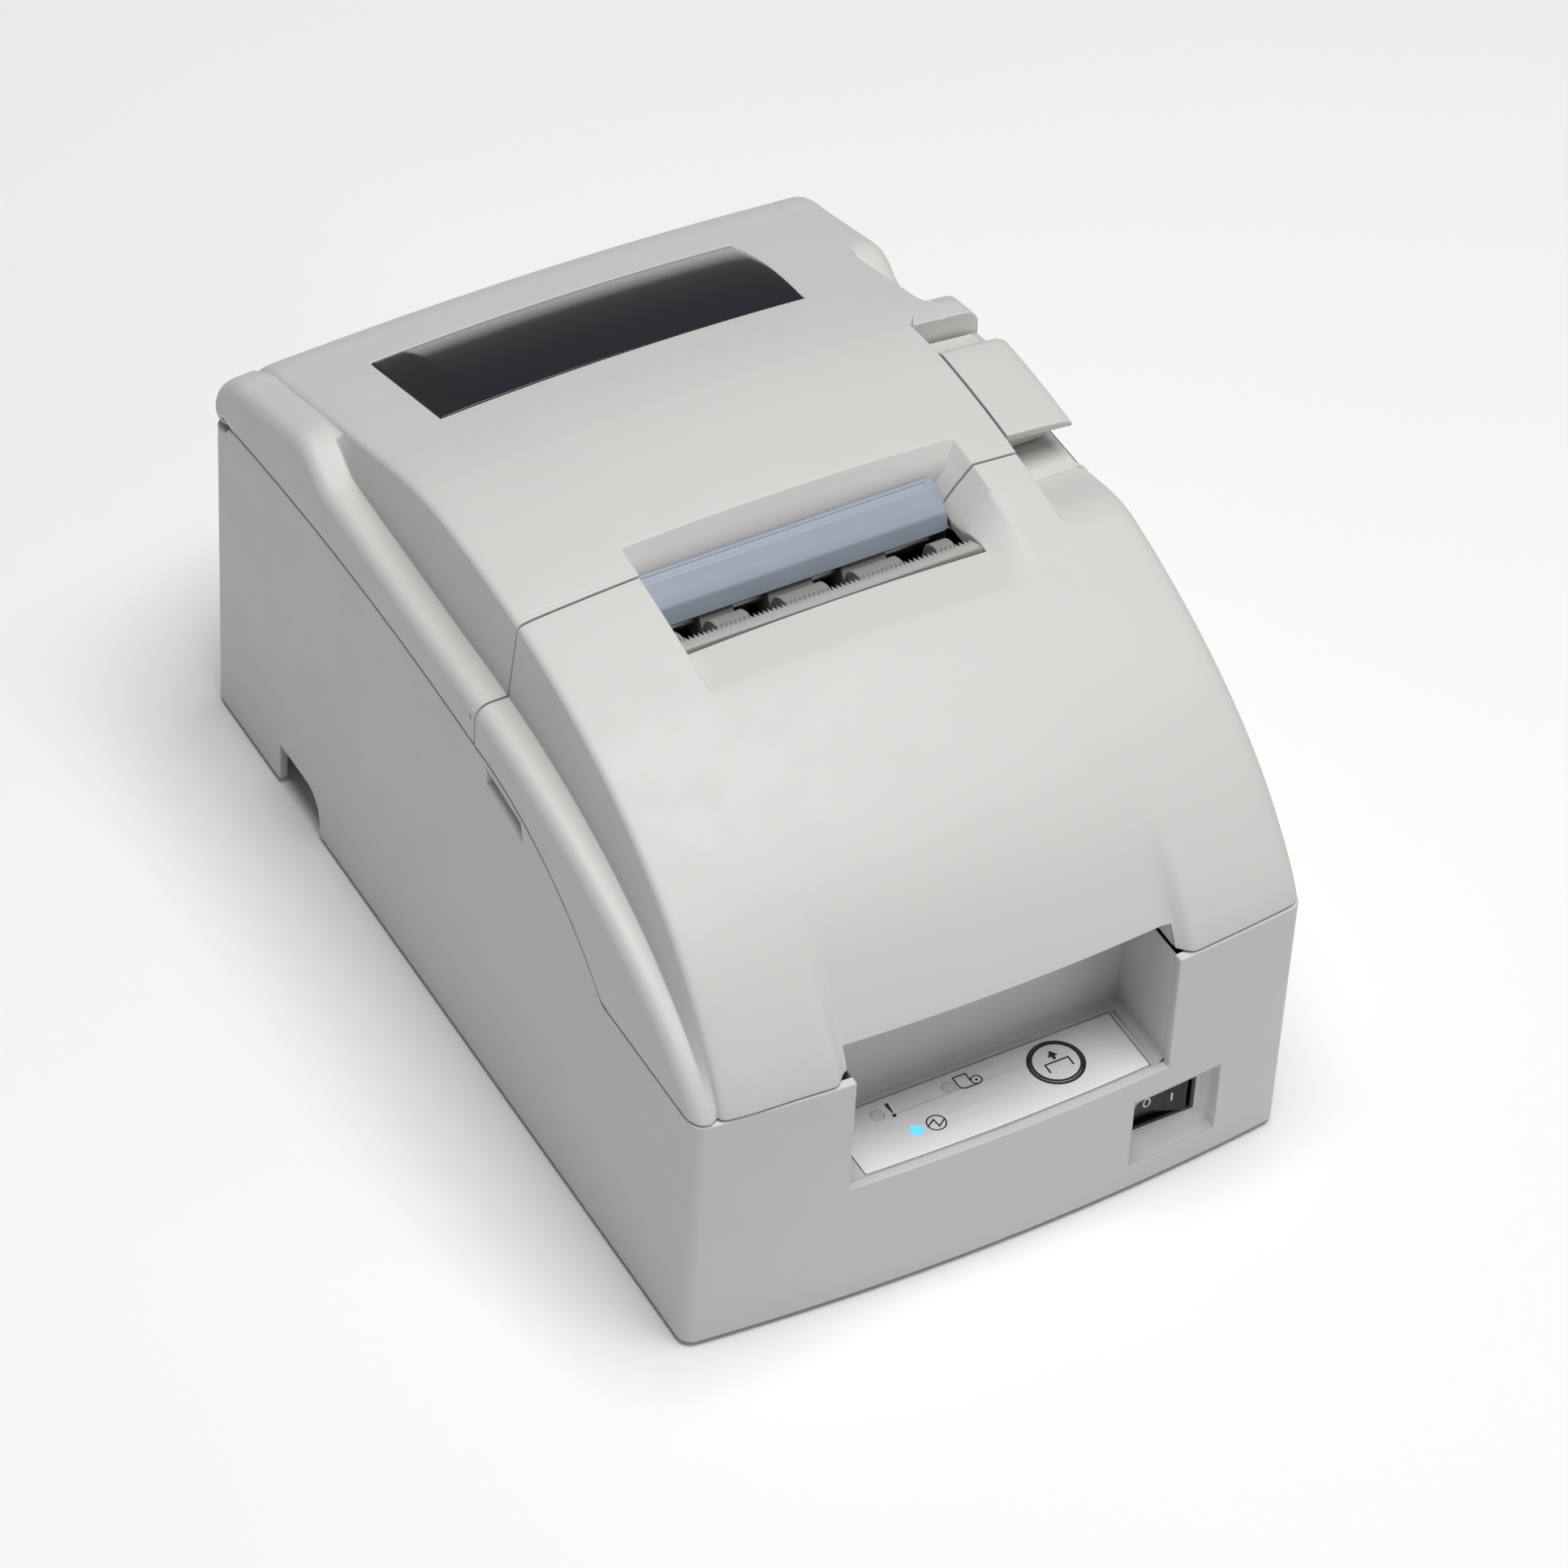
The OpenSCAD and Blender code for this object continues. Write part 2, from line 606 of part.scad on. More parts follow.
step_out = -step_x;
front_outer = [
    [-hw, 1, side_edge_r, 0, 0, 0], [-hw + 0.5, 1, 2.1, 0, 0, 0], [-hw + 1.7, 1, 0.8, 0, 0, 0],
    [-hw + 3.9, 1, 0, 0, 0, 0], [step_out, 1, 0, 0, 0, 0], [step_out + 1.9, 0, 1.4, 0, 0, 0],
    [step_out + 3.4, 0, 0.2, 0, 0, 0], [step_out + 7.5, 0, 0, 0, 0, 0], [step_out + 17.5, 0, 0, 0, 0, 0],
    [panel_x0 - 5, 0, 0, 0, 0, 0], [panel_x0, 0, 0, 1, 0, 0],
    [slot_x0, 0, 0, 1, 0, 0], [slot_x0 + 0.1, 0, 0, 1, 0, 1], [-24, 0, 0, 1, 0, 1],
    [-12, 0, 0, 1, 0, 1], [0, 0, 0, 1, 0, 1], [12, 0, 0, 1, 0, 1], [24, 0, 0, 1, 0, 1],
    [slot_x1, 0, 0, 1, 0, 1], [panel_x1, 0, 0, 0.9, 0, 0.5], [slot_back_x1, 0, 0, 0, 0, 0],
    [lever_x0 - 6.6, 0, 0, 0, 0, 0], [lever_x0 - 0.4, 0, 0, 0, 0, 0], [lever_x0, 0, 0, 0, 1, 0],
    [lever_mid, 0, 0, 0, 1, 0], [hw - 3.9, 0, 0, 0, 1, 0], [hw - 1.7, 0, 0.8, 0, 1, 0],
    [hw - 0.5, 0, 2.1, 0, 1, 0], [hw, 0, side_edge_r, 0, 1, 0]
];
front_inner = [
    [-side_in, 1, 0.6, 0, 0, 0], [-side_in + 2, 1, 0, 0, 0, 0], [step_out + wall, 1, 0, 0, 0, 0],
    [step_out + wall + 2, 0, 1, 0, 0, 0], [step_out + 17.5, 0, 0, 0, 0, 0], [panel_x0 - 5, 0, 0, 0, 0, 0],
    [panel_x0, 0, 0, 1, 0, 0], [slot_x0 - wall, 0, 0, 1, 0, 1], [-20, 0, 0, 1, 0, 1],
    [0, 0, 0, 1, 0, 1], [20, 0, 0, 1, 0, 1], [slot_x1, 0, 0, 1, 0, 1], [panel_x1 + wall, 0, 0, 0.6, 0, 0.6],
    [slot_back_x1 + wall, 0, 0, 0, 0, 0], [lever_x0 - wall - 0.4, 0, 0, 0, 0, 0],
    [lever_x0 - wall, 0, 0, 0, 1, 0], [lever_mid, 0, 0, 0, 1, 0], [side_in - 2, 0, 0, 0, 1, 0],
    [side_in, 0, 0.6, 0, 1, 0]
];

// Everything over the seam, with its gap, in front of or behind the split
module front_side() {
    y1 = split_y - lip;
    polygon(concat(
        [[front_y - 5, body_h + 5], [y1, body_h + 5], [y1, seam_z(y1) + seam_gap]],
        [for (y = [y1 - seam_step : -seam_step : seam_kink_y + 1]) [y, seam_z(y) + seam_gap]],
        [[seam_kink_y, seam_front_z + seam_gap], [front_y - 5, seam_front_z + seam_gap]]
    ));
}
module rear_side() {
    y0 = split_y;
    polygon(concat(
        [[y0, body_h + 5], [y0, seam_z(y0) + seam_gap]],
        [for (y = [y0 + seam_step : seam_step : rear_pivot[0] - barrel_r - 2]) [y, seam_z(y) + seam_gap]],
        [[rear_pivot[0] - barrel_in, rear_pivot[1]]],
        [for (a = [200 : 20 : 340]) rear_pivot + barrel_in * [cos(a), sin(a)]],
        [[rear_y, rear_pivot[1]], [rear_y + 5, rear_pivot[1]], [rear_y + 5, body_h + 5]]
    ));
}

// A rib under a cover, rounded at its lower edge
module rib(x, y0, y1, z0, z1, t = 1.4) {
    hull() {
        block([x - t / 2, y0, z1 - 1], [x + t / 2, y1, z1]);
        translate([x - t / 2, y0 + 2, z0 + 2]) rotate([0, 90, 0]) cylinder(r = 2, h = t, $fn = 16);
        translate([x - t / 2, y1 - 2, z0 + 2]) rotate([0, 90, 0]) cylinder(r = 2, h = t, $fn = 16);
    }
}

module front_cover() color("gainsboro") {
    difference() {
        union() {
            difference() {
                intersection() {
                    loft([for (s = front_outer) front_ring(s, 24, 0)]);
                    along_x(-hw - 1, hw + 1) front_side();
                }
                difference() {
                    loft([for (s = front_inner) front_ring(s, 16, wall)]);
                    // Lip around the paper exit
                    block([slot_x0 - wall, slot_front_y - wall, 0], [slot_x1 + 0.4 + wall, 0, body_h]);
                }
                // Room under the lip
                block([slot_x0 - wall - 1, slot_front_y - wall - 1, 0], [slot_x1 + wall + 1, 0, slot_lip_z]);
            }
            intersection() {
                loft([for (s = front_outer) front_ring(s, 24, 0.4)]);
                union() {
                    for (x = [-hw + 20, -30, 0, 30, hw - 20]) rib(x, split_y - 50, split_y - 38, body_h - 19.5, body_h);
                    for (x = [-hw + 20, -30, 0, 30, hw - 20]) rib(x, front_y + 20, front_y + 30, body_h - 44.5, body_h);
                    hinge_lugs();
                }
            }
            for (s = [-1, 1]) for (y = [split_y - 48, split_y - 28])
                rib(s * (side_in - 0.6), y, y + 12, seam_z(y + 12) + 1.5, seam_z(y + 12) + 10);
        }
        // Paper exit
        linear_extrude(body_h + 5) polygon([
            [slot_x0, slot_front_y], [slot_x1, slot_front_y], [slot_x1 + 0.4, slot_front_y + 4],
            [slot_x1 + 0.4, 0], [slot_x0, 0]
        ]);
        // Lower edge of the visor
        block([panel_x0 - 0.2, front_y - 10, 0], [panel_x1 + 0.2, front_y + 30, visor_z]);
        // Room for the hinge brackets
        for (s = [0, 1]) mirror([s, 0, 0])
            {
                bar_x(bracket_x - run, bracket_x + bracket_t + run, hub_r + run, front_pivot[0], front_pivot[1]);
                bar_x(bracket_x - 5, bracket_x + bracket_t + 5, front_pin_r + pin_play, front_pivot[0], front_pivot[1]);
            }
    }
}
slot_lip_z = body_h - 16.5;   // lower edge of the lip around the paper exit

// One station of the rear cover: [x, left rail, right rail, drop]
function rear_ys() = concat(
    [for (i = [0 : 4]) mix(split_y, crest_y, i / 4)],
    [for (i = [1 : 3]) mix(crest_y, win_y0 - 17, i / 3)],
    [for (d = [-11 : 4 : 21]) win_y0 + d], [win_y0 + 27, win_y0 + 34, edge_start[0] - 1]
);
function rail_blend(y, left, right) =
    let(d = y - win_y0) left * (1 - smooth(1, 19, d)) + right * smooth(-17, -5, d) * (1 - smooth(9, 21, d));
function rear_point(y, s, w) =
    let(
        p = main_rear(y),
        q = sink(p, s[0], w, s[3]),
        r = [y, rail_height(y) - w - s[3]],
        k = rail_blend(y, s[1], s[2])
    )
    [s[0], mix(q[0], r[0], k), min(q[1], mix(q[1], r[1], k))];
function edge_point(a, s, w) =
    let(r = rear_edge_r - w)
    [s[0], edge_c[0] + r * sin(a) - s[3] * sin(a) * 0.6,
        edge_c[1] + (r - s[3]) * cos(a) - crown(s[0]) * cos(a)];
function rear_ring(s, w) = concat(
    [[s[0], split_y - (w > 1 ? 1 : 0), 85]],
    [for (y = rear_ys()) let(p = rear_point(y, s, w)) [p[0], y > split_y ? p[1] : split_y - (w > 1 ? 1 : 0), p[2]]],
    [for (a = [slope_angle : (90 - slope_angle) / 6 : 90.1]) edge_point(a, s, w)],
    [[s[0], edge_point(90, s, w)[1], 85]]
);
rear_outer = [
    [-hw, 1, 0, side_edge_r], [-hw + 0.5, 1, 0, 2.1], [-hw + 1.7, 1, 0, 0.8], [-hw + 3.9, 1, 0, 0],
    [step_out, 1, 0, 0], [step_out + 1.9, 0, 0, 1.4], [step_out + 3.4, 0, 0, 0.2], [step_out + 9.5, 0, 0, 0],
    [step_out + 19.5, 0, 0, 0], [-40, 0, 0, 0], [-26, 0, 0, 0], [-13, 0, 0, 0], [0, 0, 0, 0], [13, 0, 0, 0],
    [26, 0, 0, 0], [40, 0, 0, 0], [hw - 28, 0, 0, 0], [hw - 18, 0, 0, 0], [hw - 11.5, 0, 0, 0.2],
    [hw - 10, 0, 0, 1.2], [hw - 8.5, 0, 1, 0.4], [hw - 3.9, 0, 1, 0], [hw - 1.7, 0, 1, 0.8],
    [hw - 0.5, 0, 1, 2.1], [hw, 0, 1, side_edge_r]
];
rear_inner = [
    [-side_in, 1, 0, 0.6], [-side_in + 2, 1, 0, 0], [step_out + wall, 1, 0, 0],
    [step_out + wall + 2, 0, 0, 1], [step_out + 19.5, 0, 0, 0], [-36, 0, 0, 0], [-18, 0, 0, 0], [0, 0, 0, 0],
    [18, 0, 0, 0], [36, 0, 0, 0], [hw - 28, 0, 0, 0], [hw - 13, 0, 0, 1], [hw - 11, 0, 1, 0],
    [side_in - 2, 0, 1, 0], [side_in, 0, 1, 0.6]
];

win_x0 = -50;
win_x1 = 47;
win_bulge = 3.2;
win_t = 2;

rib_x = [-hw + 18, -hw + 30, hw - 30, hw - 22];
module rear_cover() color("gainsboro") {
    difference() {
        union() {
            difference() {
                intersection() {
                    loft([for (s = rear_outer) rear_ring(s, 0)]);
                    along_x(-hw - 1, hw + 1) rear_side();
                }
                loft([for (s = rear_inner) rear_ring(s, wall)]);
            }
            // Hinge barrel between the ears
            intersection() {
                bar_x(-side_in - eps, side_in + eps, barrel_r, rear_pivot[0], rear_pivot[1], $fn = 32);
                block([-hw, 0, 0], [hw, rear_y, body_h]);
            }
            // Pocket for the lever
            intersection() {
                loft([for (s = rear_outer) rear_ring(s, 0)]);
                union() {
                    block([lever_x0 - wall, split_y, lever_floor - wall], [hw, lever_back + wall, lever_floor]);
                    block([lever_x0 - wall, split_y, lever_floor - wall], [lever_x0, lever_back + wall, body_h]);
                    block([lever_x0 - wall, lever_back, lever_floor - wall], [hw, lever_back + wall, body_h]);
                }
            }
            exit_lip();
            intersection() {
                loft([for (s = rear_outer) rear_ring(s, 0.4)]);
                union() {
                    for (x = rib_x) rib(x, win_y0 - 19, win_y0 - 5, body_h - 11.5, body_h);
                    for (x = rib_x) rib(x, win_y1 + 1, win_y1 + 13, edge_start[1] - 7, body_h);
                    for (x = [-hw + 20, -20, 20]) rib(x, split_y + 12, split_y + 28, body_h - 7.5, body_h);
                }
            }
            for (s = [-1, 1]) for (y = [split_y + 12, win_y0 - 3])
                rib(s * (side_in - 0.6), y, y + 12, seam_top_z + 1.7, seam_top_z + 8.7);
        }
        // Lever pocket and the slot for its hook
        block([lever_x0, split_y - cut, lever_floor], [hw + cut, lever_back, body_h + cut]);
        block([hook_x - 1, hook_y - 6, lever_floor - wall - cut], [hook_x + hook_w + 1, hook_y + 4, body_h]);
        bar_x(lever_x0 - wall - 1, lever_x0 + 1, lever_pin_r + pin_play, lever_pivot[0], lever_pivot[1]);
        // Paper exit
        along_x(slot_x0, slot_back_x1) polygon([
            [split_y - cut, 60], [split_y - cut, body_h + 5], [slot_rear_y + 1.5, body_h + 5],
            [slot_rear_y, body_h - 2], [slot_rear_y - 3, body_h - 8], [slot_rear_y - 3, 60]
        ]);
        // Window opening, with the window's thickness let into its edge
        block([win_x0 + 3, win_y0 + 3, 90], [win_x1 - 3, win_y1 - 3, body_h + 5]);
        loft([for (s = win_cut) win_ring(s, -fit / 2, 20)]);
        // Room for the hinge ears and knuckles
        for (s = [0, 1]) mirror([s, 0, 0]) bar_x(ear_x - fit, side_in - 0.01, barrel_clear, rear_pivot[0], rear_pivot[1]);
    }
}
// Wall behind the paper exit
module exit_lip() {
    along_x(slot_x0 - wall, slot_back_x1 + wall) polygon([
        [slot_rear_y - 3, body_h - 12], [slot_rear_y + 0.4, body_h - 12], [slot_rear_y + 3, body_h - 5],
        [slot_rear_y - 1, body_h - 5], [slot_rear_y - 3, body_h - 8]
    ]);
    for (x = [slot_x0 - wall, slot_back_x1])
        block([x + 0.1, split_y, body_h - 10.5], [x + wall - 0.1, slot_rear_y + 0.2, body_h - 5.5]);
}

// The window is a shell over the opening, bulged over the cover's slope
win_cut = [[win_x0 - fit, 0], [win_x0, 0], [win_x1, 0], [win_x1 + fit, 0]];
function win_surface(x, y) = sink(main_rear(y), x, 0, 0)[1];
function win_bulge_at(y) = win_bulge * (1 - pow(2 * ramp(win_y0, win_y1, y) - 1, 2));
function win_ring(s, grow, deep) =
    let(y0 = win_y0 + grow, y1 = win_y1 - grow)
    concat(
        [for (t = [0 : 0.125 : 1]) let(y = mix(y0, y1, t))
            [s[0], y, win_surface(s[0], y) + deep + (deep > 10 ? 0 : win_bulge_at(y) * s[1])]],
        [for (t = [1 : -0.125 : -0.01]) let(y = mix(y0, y1, t))
            [s[0], y, win_surface(s[0], y) - win_t + (deep > 10 ? 0 : win_bulge_at(y) * s[1])]]
    );
win_stations = [for (x = [win_x0, win_x0 + 8.5, -30, -15, 0, 15, 30, win_x1]) [x, x == win_x0 ? 0 : 1]];
module window() color([0.15, 0.16, 0.18]) {
    loft([for (s = win_stations) win_ring(s, 0, 0)]);
}

// ---------------------------------------------------------------- lever and latch

lever_lip_y = split_y + 5.2;
lever_rear = lever_back - 0.9;
lever_pivot = [lever_back - 5.5, lever_floor + 2.8];
lever_pin_r = 1.2;
lever_bottom = lever_floor + 0.4;
hook_x = lever_x0 + 4.4;
hook_w = 4;
hook_y = 24;
strike_z = seam_top_z + 1.7;

function lever_top(x, y) =
    let(z = sink(main_rear(y), x, 0, 0)[1]) z - 6 * smooth(lever_rear - 12, lever_rear - 4, y);
function lever_ring(x, drop) =
    let(ys = [lever_lip_y, 4, 14, lever_rear - 12, lever_rear - 10, lever_rear - 8, lever_rear - 6, lever_rear - 4, lever_rear])
    concat(
        [for (y = ys) [x, y, lever_top(x, y) - drop]],
        [[x, lever_rear, lever_bottom + 2], [x, lever_pivot[0], lever_bottom], [x, lever_lip_y + 4.5, lever_bottom],
            [x, lever_lip_y + 1.5, lever_top(x, lever_lip_y) - 3 - drop],
            [x, lever_lip_y, lever_top(x, lever_lip_y) - 2.2 - drop]]
    );
lever_wall = 1.9;
lever_solid_y = 19;      // behind this the lever is solid, round its pin and its hook
function lever_cavity(x) =
    let(ys = [lever_lip_y + 7.5, 6, 12, lever_solid_y])
    concat(
        [for (y = ys) [x, y, lever_top(x, y) - lever_wall - 0.4]],
        [[x, lever_solid_y, lever_bottom - 1], [x, lever_lip_y + 7.5, lever_bottom - 1]]
    );
module open_lever() color("gainsboro") {
    inner_x0 = lever_x0 + run + lever_wall;
    inner_x1 = hw - 2 * lever_wall;
    difference() {
        union() {
            difference() {
                loft([for (s = [
                    [lever_x0 + run, 0], [lever_mid, 0], [hw - 3.9, 0], [hw - 1.7, 0.8], [hw - 0.5, 2.1],
                    [hw, side_edge_r - 0.6]
                ]) lever_ring(s[0], s[1])]);
                loft([for (x = [inner_x0, lever_mid, inner_x1]) lever_cavity(x)]);
            }
            // Ribs under its top
            for (y = [9 : 2.5 : 18]) for (x = [[inner_x0 - 0.1, lever_mid - 0.5], [lever_mid + 0.5, inner_x1 + 0.1]]) hull() {
                block([x[0], y, lever_bottom + 3], [x[1], y + 1, lever_bottom + 7]);
                block([x[0] + 1, y, lever_bottom + 0.6], [x[1] - 1, y + 1, lever_bottom + 1]);
            }
        }
        // Cheeks that leave the lip wider than the lever's front
        block([hw - 3, lever_lip_y - 1, 0], [hw + 1, lever_lip_y + 7, lever_top(hw, lever_lip_y) - 3]);
        bar_x(lever_x0 - 1, hw - 6, lever_pin_r + pin_play + 0.01, lever_pivot[0], lever_pivot[1]);
        block([hook_x - 0.1, hook_y - 2.6, lever_bottom - 1], [hook_x + hook_w + 0.1, hook_y + 2.6, lever_bottom + 1.6]);
    }
}
module lever_pin() color("silver") {
    bar_x(lever_x0 - wall + 0.4, hw - 6.2, lever_pin_r, lever_pivot[0], lever_pivot[1]);
}
// Compression spring under the lever's front, as a stack of turns
module lever_spring() color("silver") {
    translate([hw - 6, lever_lip_y + 12.8, lever_floor]) difference() {
        cylinder(r = 1.9, h = 3.1, $fn = 32);
        translate([0, 0, -1]) cylinder(r = 1.3, h = 5, $fn = 32);
    }
}
module latch_hook() color("dimgray") {
    y = hook_y;
    along_x(hook_x, hook_x + hook_w) polygon([
        [y - 2.5, lever_bottom + 1.5], [y + 2.5, lever_bottom + 1.5], [y + 2, strike_z + 3],
        [y + 2, strike_z - 1], [y + 3.4, strike_z - 3], [y + 1, strike_z - 6], [y - 2, strike_z - 4]
    ]);
}
module latch_strike() color("silver") {
    y = hook_y + 3.9;
    union() {
        block([hook_x - 1.5, y, strike_z - 4], [side_in, y + 3, strike_z - 1.5]);
        block([side_in - 1.5, y - 4, strike_z - 18], [side_in, y + 8, strike_z - 1.5 + eps]);
    }
}

// ---------------------------------------------------------------- control panel

plate_x0 = panel_x0 + 6;
plate_x1 = panel_x1 - 3.9;
plate_y0 = front_y + 2.6;
plate_y1 = panel_y - 2.6;
button_at = [22.2, front_y + 14.4];
lights_at = [[-23.1, front_y + 18.6], [-17.4, front_y + 10.4], [-4, front_y + 18.9]];

module control_plate() color("whitesmoke") {
    difference() {
        block([plate_x0, plate_y0, panel_z], [plate_x1, plate_y1, panel_z + plate_t]);
        translate([button_at[0], button_at[1], panel_z - 1]) cylinder(r = button_r + 0.25, h = 4, $fn = 64);
        for (p = lights_at) translate([p[0], p[1], panel_z - 1]) cylinder(r = light_r + 0.1, h = 4, $fn = 32);
    }
}
board_drop = 6;
button_web = 0.4;        // the button's underside is this far below the plate
module panel_board() color("seagreen") {
    z = panel_z - board_drop;
    union() {
        block([plate_x0 + 4, plate_y0 + 3, z - 1.2], [plate_x1 - 9, plate_y1 - 3, z]);
        for (x = [plate_x0 + 4, plate_x1 - 11]) block([x, plate_y0 + 3, z - eps], [x + 3, plate_y1 - 3, panel_z]);
        translate([button_at[0], button_at[1], z - eps]) {
            translate([-3, -3, 0]) cube([6, 6, 2.4]);
            cylinder(r = 1.6, h = board_drop - button_web - button_travel - 0.2, $fn = 32);
        }
    }
}
module feed_button() color("whitesmoke") {
    p = [button_at[0], button_at[1]];
    difference() {
        union() {
            translate([p[0], p[1], panel_z - 1.2]) cylinder(r = button_r, h = plate_t + 1.4, $fn = 64);
            translate([p[0], p[1], panel_z - 1.2 - 0.4]) cylinder(r = button_r + 0.6, h = 0.9, $fn = 64);
        }
        translate([p[0], p[1], panel_z - 3]) cylinder(r = button_r - 1.4, h = 3 - button_web, $fn = 64);
    }
}
module indicator_lights() color("deepskyblue") {
    z = panel_z - board_drop;
    for (p = lights_at) translate([p[0], p[1], z]) cylinder(r = light_r, h = board_drop + plate_t + 0.1, $fn = 32);
}

// ---------------------------------------------------------------- power switch

rocker_x0 = switch_x0 + 0.4;
rocker_z0 = switch_z0 + switch_h - rocker_h - 0.9;
rocker_c = [rocker_x0 + rocker_w / 2, switch_back + 4, rocker_z0 + rocker_h / 2];
module power_switch() color([0.06, 0.06, 0.06]) {
    difference() {
        union() {
            block([rocker_x0, switch_back, rocker_z0], [rocker_x0 + rocker_w, switch_back + 16, rocker_z0 + rocker_h]);
            for (x = [-6, 0, 6]) block(
                [rocker_c[0] + x - 0.4, switch_back + 16 - eps, rocker_c[2] - 3],
                [rocker_c[0] + x + 0.4, switch_back + 22, rocker_c[2] + 3]
            );
        }
        block(
            [rocker_x0 + 1.4, switch_back - 1, rocker_z0 + 1.3],
            [rocker_x0 + rocker_w - 1.4, switch_back + 10, rocker_z0 + rocker_h - 1.3]
        );
        translate([rocker_c[0], rocker_c[1], rocker_z0 + 0.6]) cylinder(r = 1.2 + pin_play, h = rocker_h - 1.2, $fn = 32);
    }
}
module power_rocker() color([0.1, 0.1, 0.1]) {
    h = rocker_h - 2.6 - 2 * fit;
    l = rocker_w / 2 - 2.3;
    translate([rocker_c[0], rocker_c[1], rocker_z0 + 1.3 + fit]) {
        rotate([0, 0, -8]) linear_extrude(h) polygon([[-l, -4.6], [0, -3.2], [l, -4.6], [l - 1, 0], [0, 3], [-l + 1, 0]]);
        translate([0, 0, -fit - 0.6]) cylinder(r = 1.2, h = h + 2 * fit + 1.2, $fn = 32);
    }
}

// ---------------------------------------------------------------- paper path

bay_inner_r = roll_r + 1.5;
bay_wall = 2;
bay_x0 = paper_x - paper_w / 2 - 2;
bay_x1 = paper_x + paper_w / 2 + 2;
bay_c = [rear_y - 58, bay_z + bay_inner_r + bay_wall];
module roll_bay() color([0.28, 0.29, 0.31]) {
    top = 98;
    difference() {
        along_x(bay_x0 - bay_wall, bay_x1 + bay_wall) bay_outline(bay_inner_r + bay_wall, top);
        along_x(bay_x0, bay_x1) bay_outline(bay_inner_r, top + 5);
    }
    for (x = [bay_x0 - bay_wall, bay_x1])
        block([x, bay_c[0] - 18, bay_z], [x + bay_wall, bay_c[0] + 18, bay_z + 8]);
}
module bay_outline(r, top) {
    union() {
        translate(bay_c) circle(r, $fn = 96);
        translate([bay_c[0] - r, bay_c[1]]) square([2 * r, top - bay_c[1]]);
    }
}

feed_axis = [split_y - 12.5, body_h - 20];
pinch_axis = [feed_axis[0] + feed_r + pinch_r + 0.5, feed_axis[1] - 1];
function sleeve_x(i) = paper_x + [-36.8, -22, -2.6, 16.8, 34][i];
function sleeve_w(i) = [4, 9, 12, 12, 5][i];

module feed_roller() color([0.35, 0.35, 0.36]) {
    bar_x(frame_x0 - frame_t - 9, frame_x1 + frame_t + 1, feed_shaft_r, feed_axis[0], feed_axis[1]);
    for (i = [0 : 4])
        bar_x(sleeve_x(i) - sleeve_w(i) / 2, sleeve_x(i) + sleeve_w(i) / 2, feed_r, feed_axis[0], feed_axis[1]);
}
pinch_shaft_r = 1.5;
module pinch_rollers() color([0.2, 0.2, 0.21]) {
    bar_x(platen_x0 - 0.3, platen_x1 + 0.3, pinch_shaft_r, pinch_axis[0], pinch_axis[1]);
    for (i = [1 : 3])
        bar_x(sleeve_x(i) - sleeve_w(i) / 2, sleeve_x(i) + sleeve_w(i) / 2, pinch_r, pinch_axis[0], pinch_axis[1]);
}

guide_x0 = slot_x0 + 0.6;
guide_x1 = slot_x1 - 0.2;
module guide_bar() color([0.59, 0.63, 0.69]) {
    y = slot_rear_y;
    z = body_h;
    along_x(guide_x0, guide_x1) polygon([
        [y - 3, z - 11], [y - 4.2, z - 7.4], [y - 6, z - 7.2], [y - 6.6, z - 8.4], [y - 11.5, z - 11.5],
        [y - 13, z - 16.5], [y - 11, z - 16.5], [y - 5.6, z - 13.4], [y - 3, z - 13.4]
    ]);
}

platen_x0 = slot_x0 + 0.8;
platen_x1 = slot_x1 - 0.6;
platen_y = split_y - 5.5;
// Platen on the rear cover, with its two arms and the pinch roller's bearings
module platen() color([0.22, 0.22, 0.23]) {
    y = platen_y;
    difference() {
        union() {
            block([platen_x0, y, 86], [platen_x1, y + 4, pinch_axis[1] - 11.5]);
            for (x = [platen_x0, platen_x1 - 3]) along_x(x, x + 3) polygon([
                [y, 86], [y + 4, 86], [split_y + 3, 100], [slot_rear_y + 0.4, body_h - 16],
                [slot_rear_y + 0.4, body_h - 12], [slot_rear_y - 3, body_h - 12], [slot_rear_y - 3, body_h - 13.6],
                [pinch_axis[0] - 3.2, pinch_axis[1] + 3], [pinch_axis[0] - 3.2, 100], [y, 98]
            ]);
        }
        bar_x(platen_x0 - 1, platen_x1 + 1, pinch_shaft_r + pin_play, pinch_axis[0], pinch_axis[1]);
    }
}

tear_x0 = slot_x0 + 0.9;
tear_x1 = slot_x1 - 0.5;
tear_y = slot_front_y + 0.6;
tear_top = body_h - 11.2;
tear_t = 0.8;
module tear_bar() color("silver") {
    teeth = floor((tear_x1 - tear_x0) / tooth_pitch);
    translate([tear_x0, tear_y + tear_t, 0]) rotate([90, 0, 0]) linear_extrude(tear_t)
        polygon(concat(
            [[0, tear_top - 14]],
            [for (i = [0 : teeth - 1]) each [
                [i * tooth_pitch, tear_top], [(i + 0.5) * tooth_pitch, tear_top + tooth_h]
            ]],
            [[teeth * tooth_pitch, tear_top], [teeth * tooth_pitch, tear_top - 14]]
        ));
    block([frame_x0, tear_y - 12, tear_top - 14], [frame_x1, tear_y + tear_t, tear_top - 12.8]);
}

// ---------------------------------------------------------------- mechanism

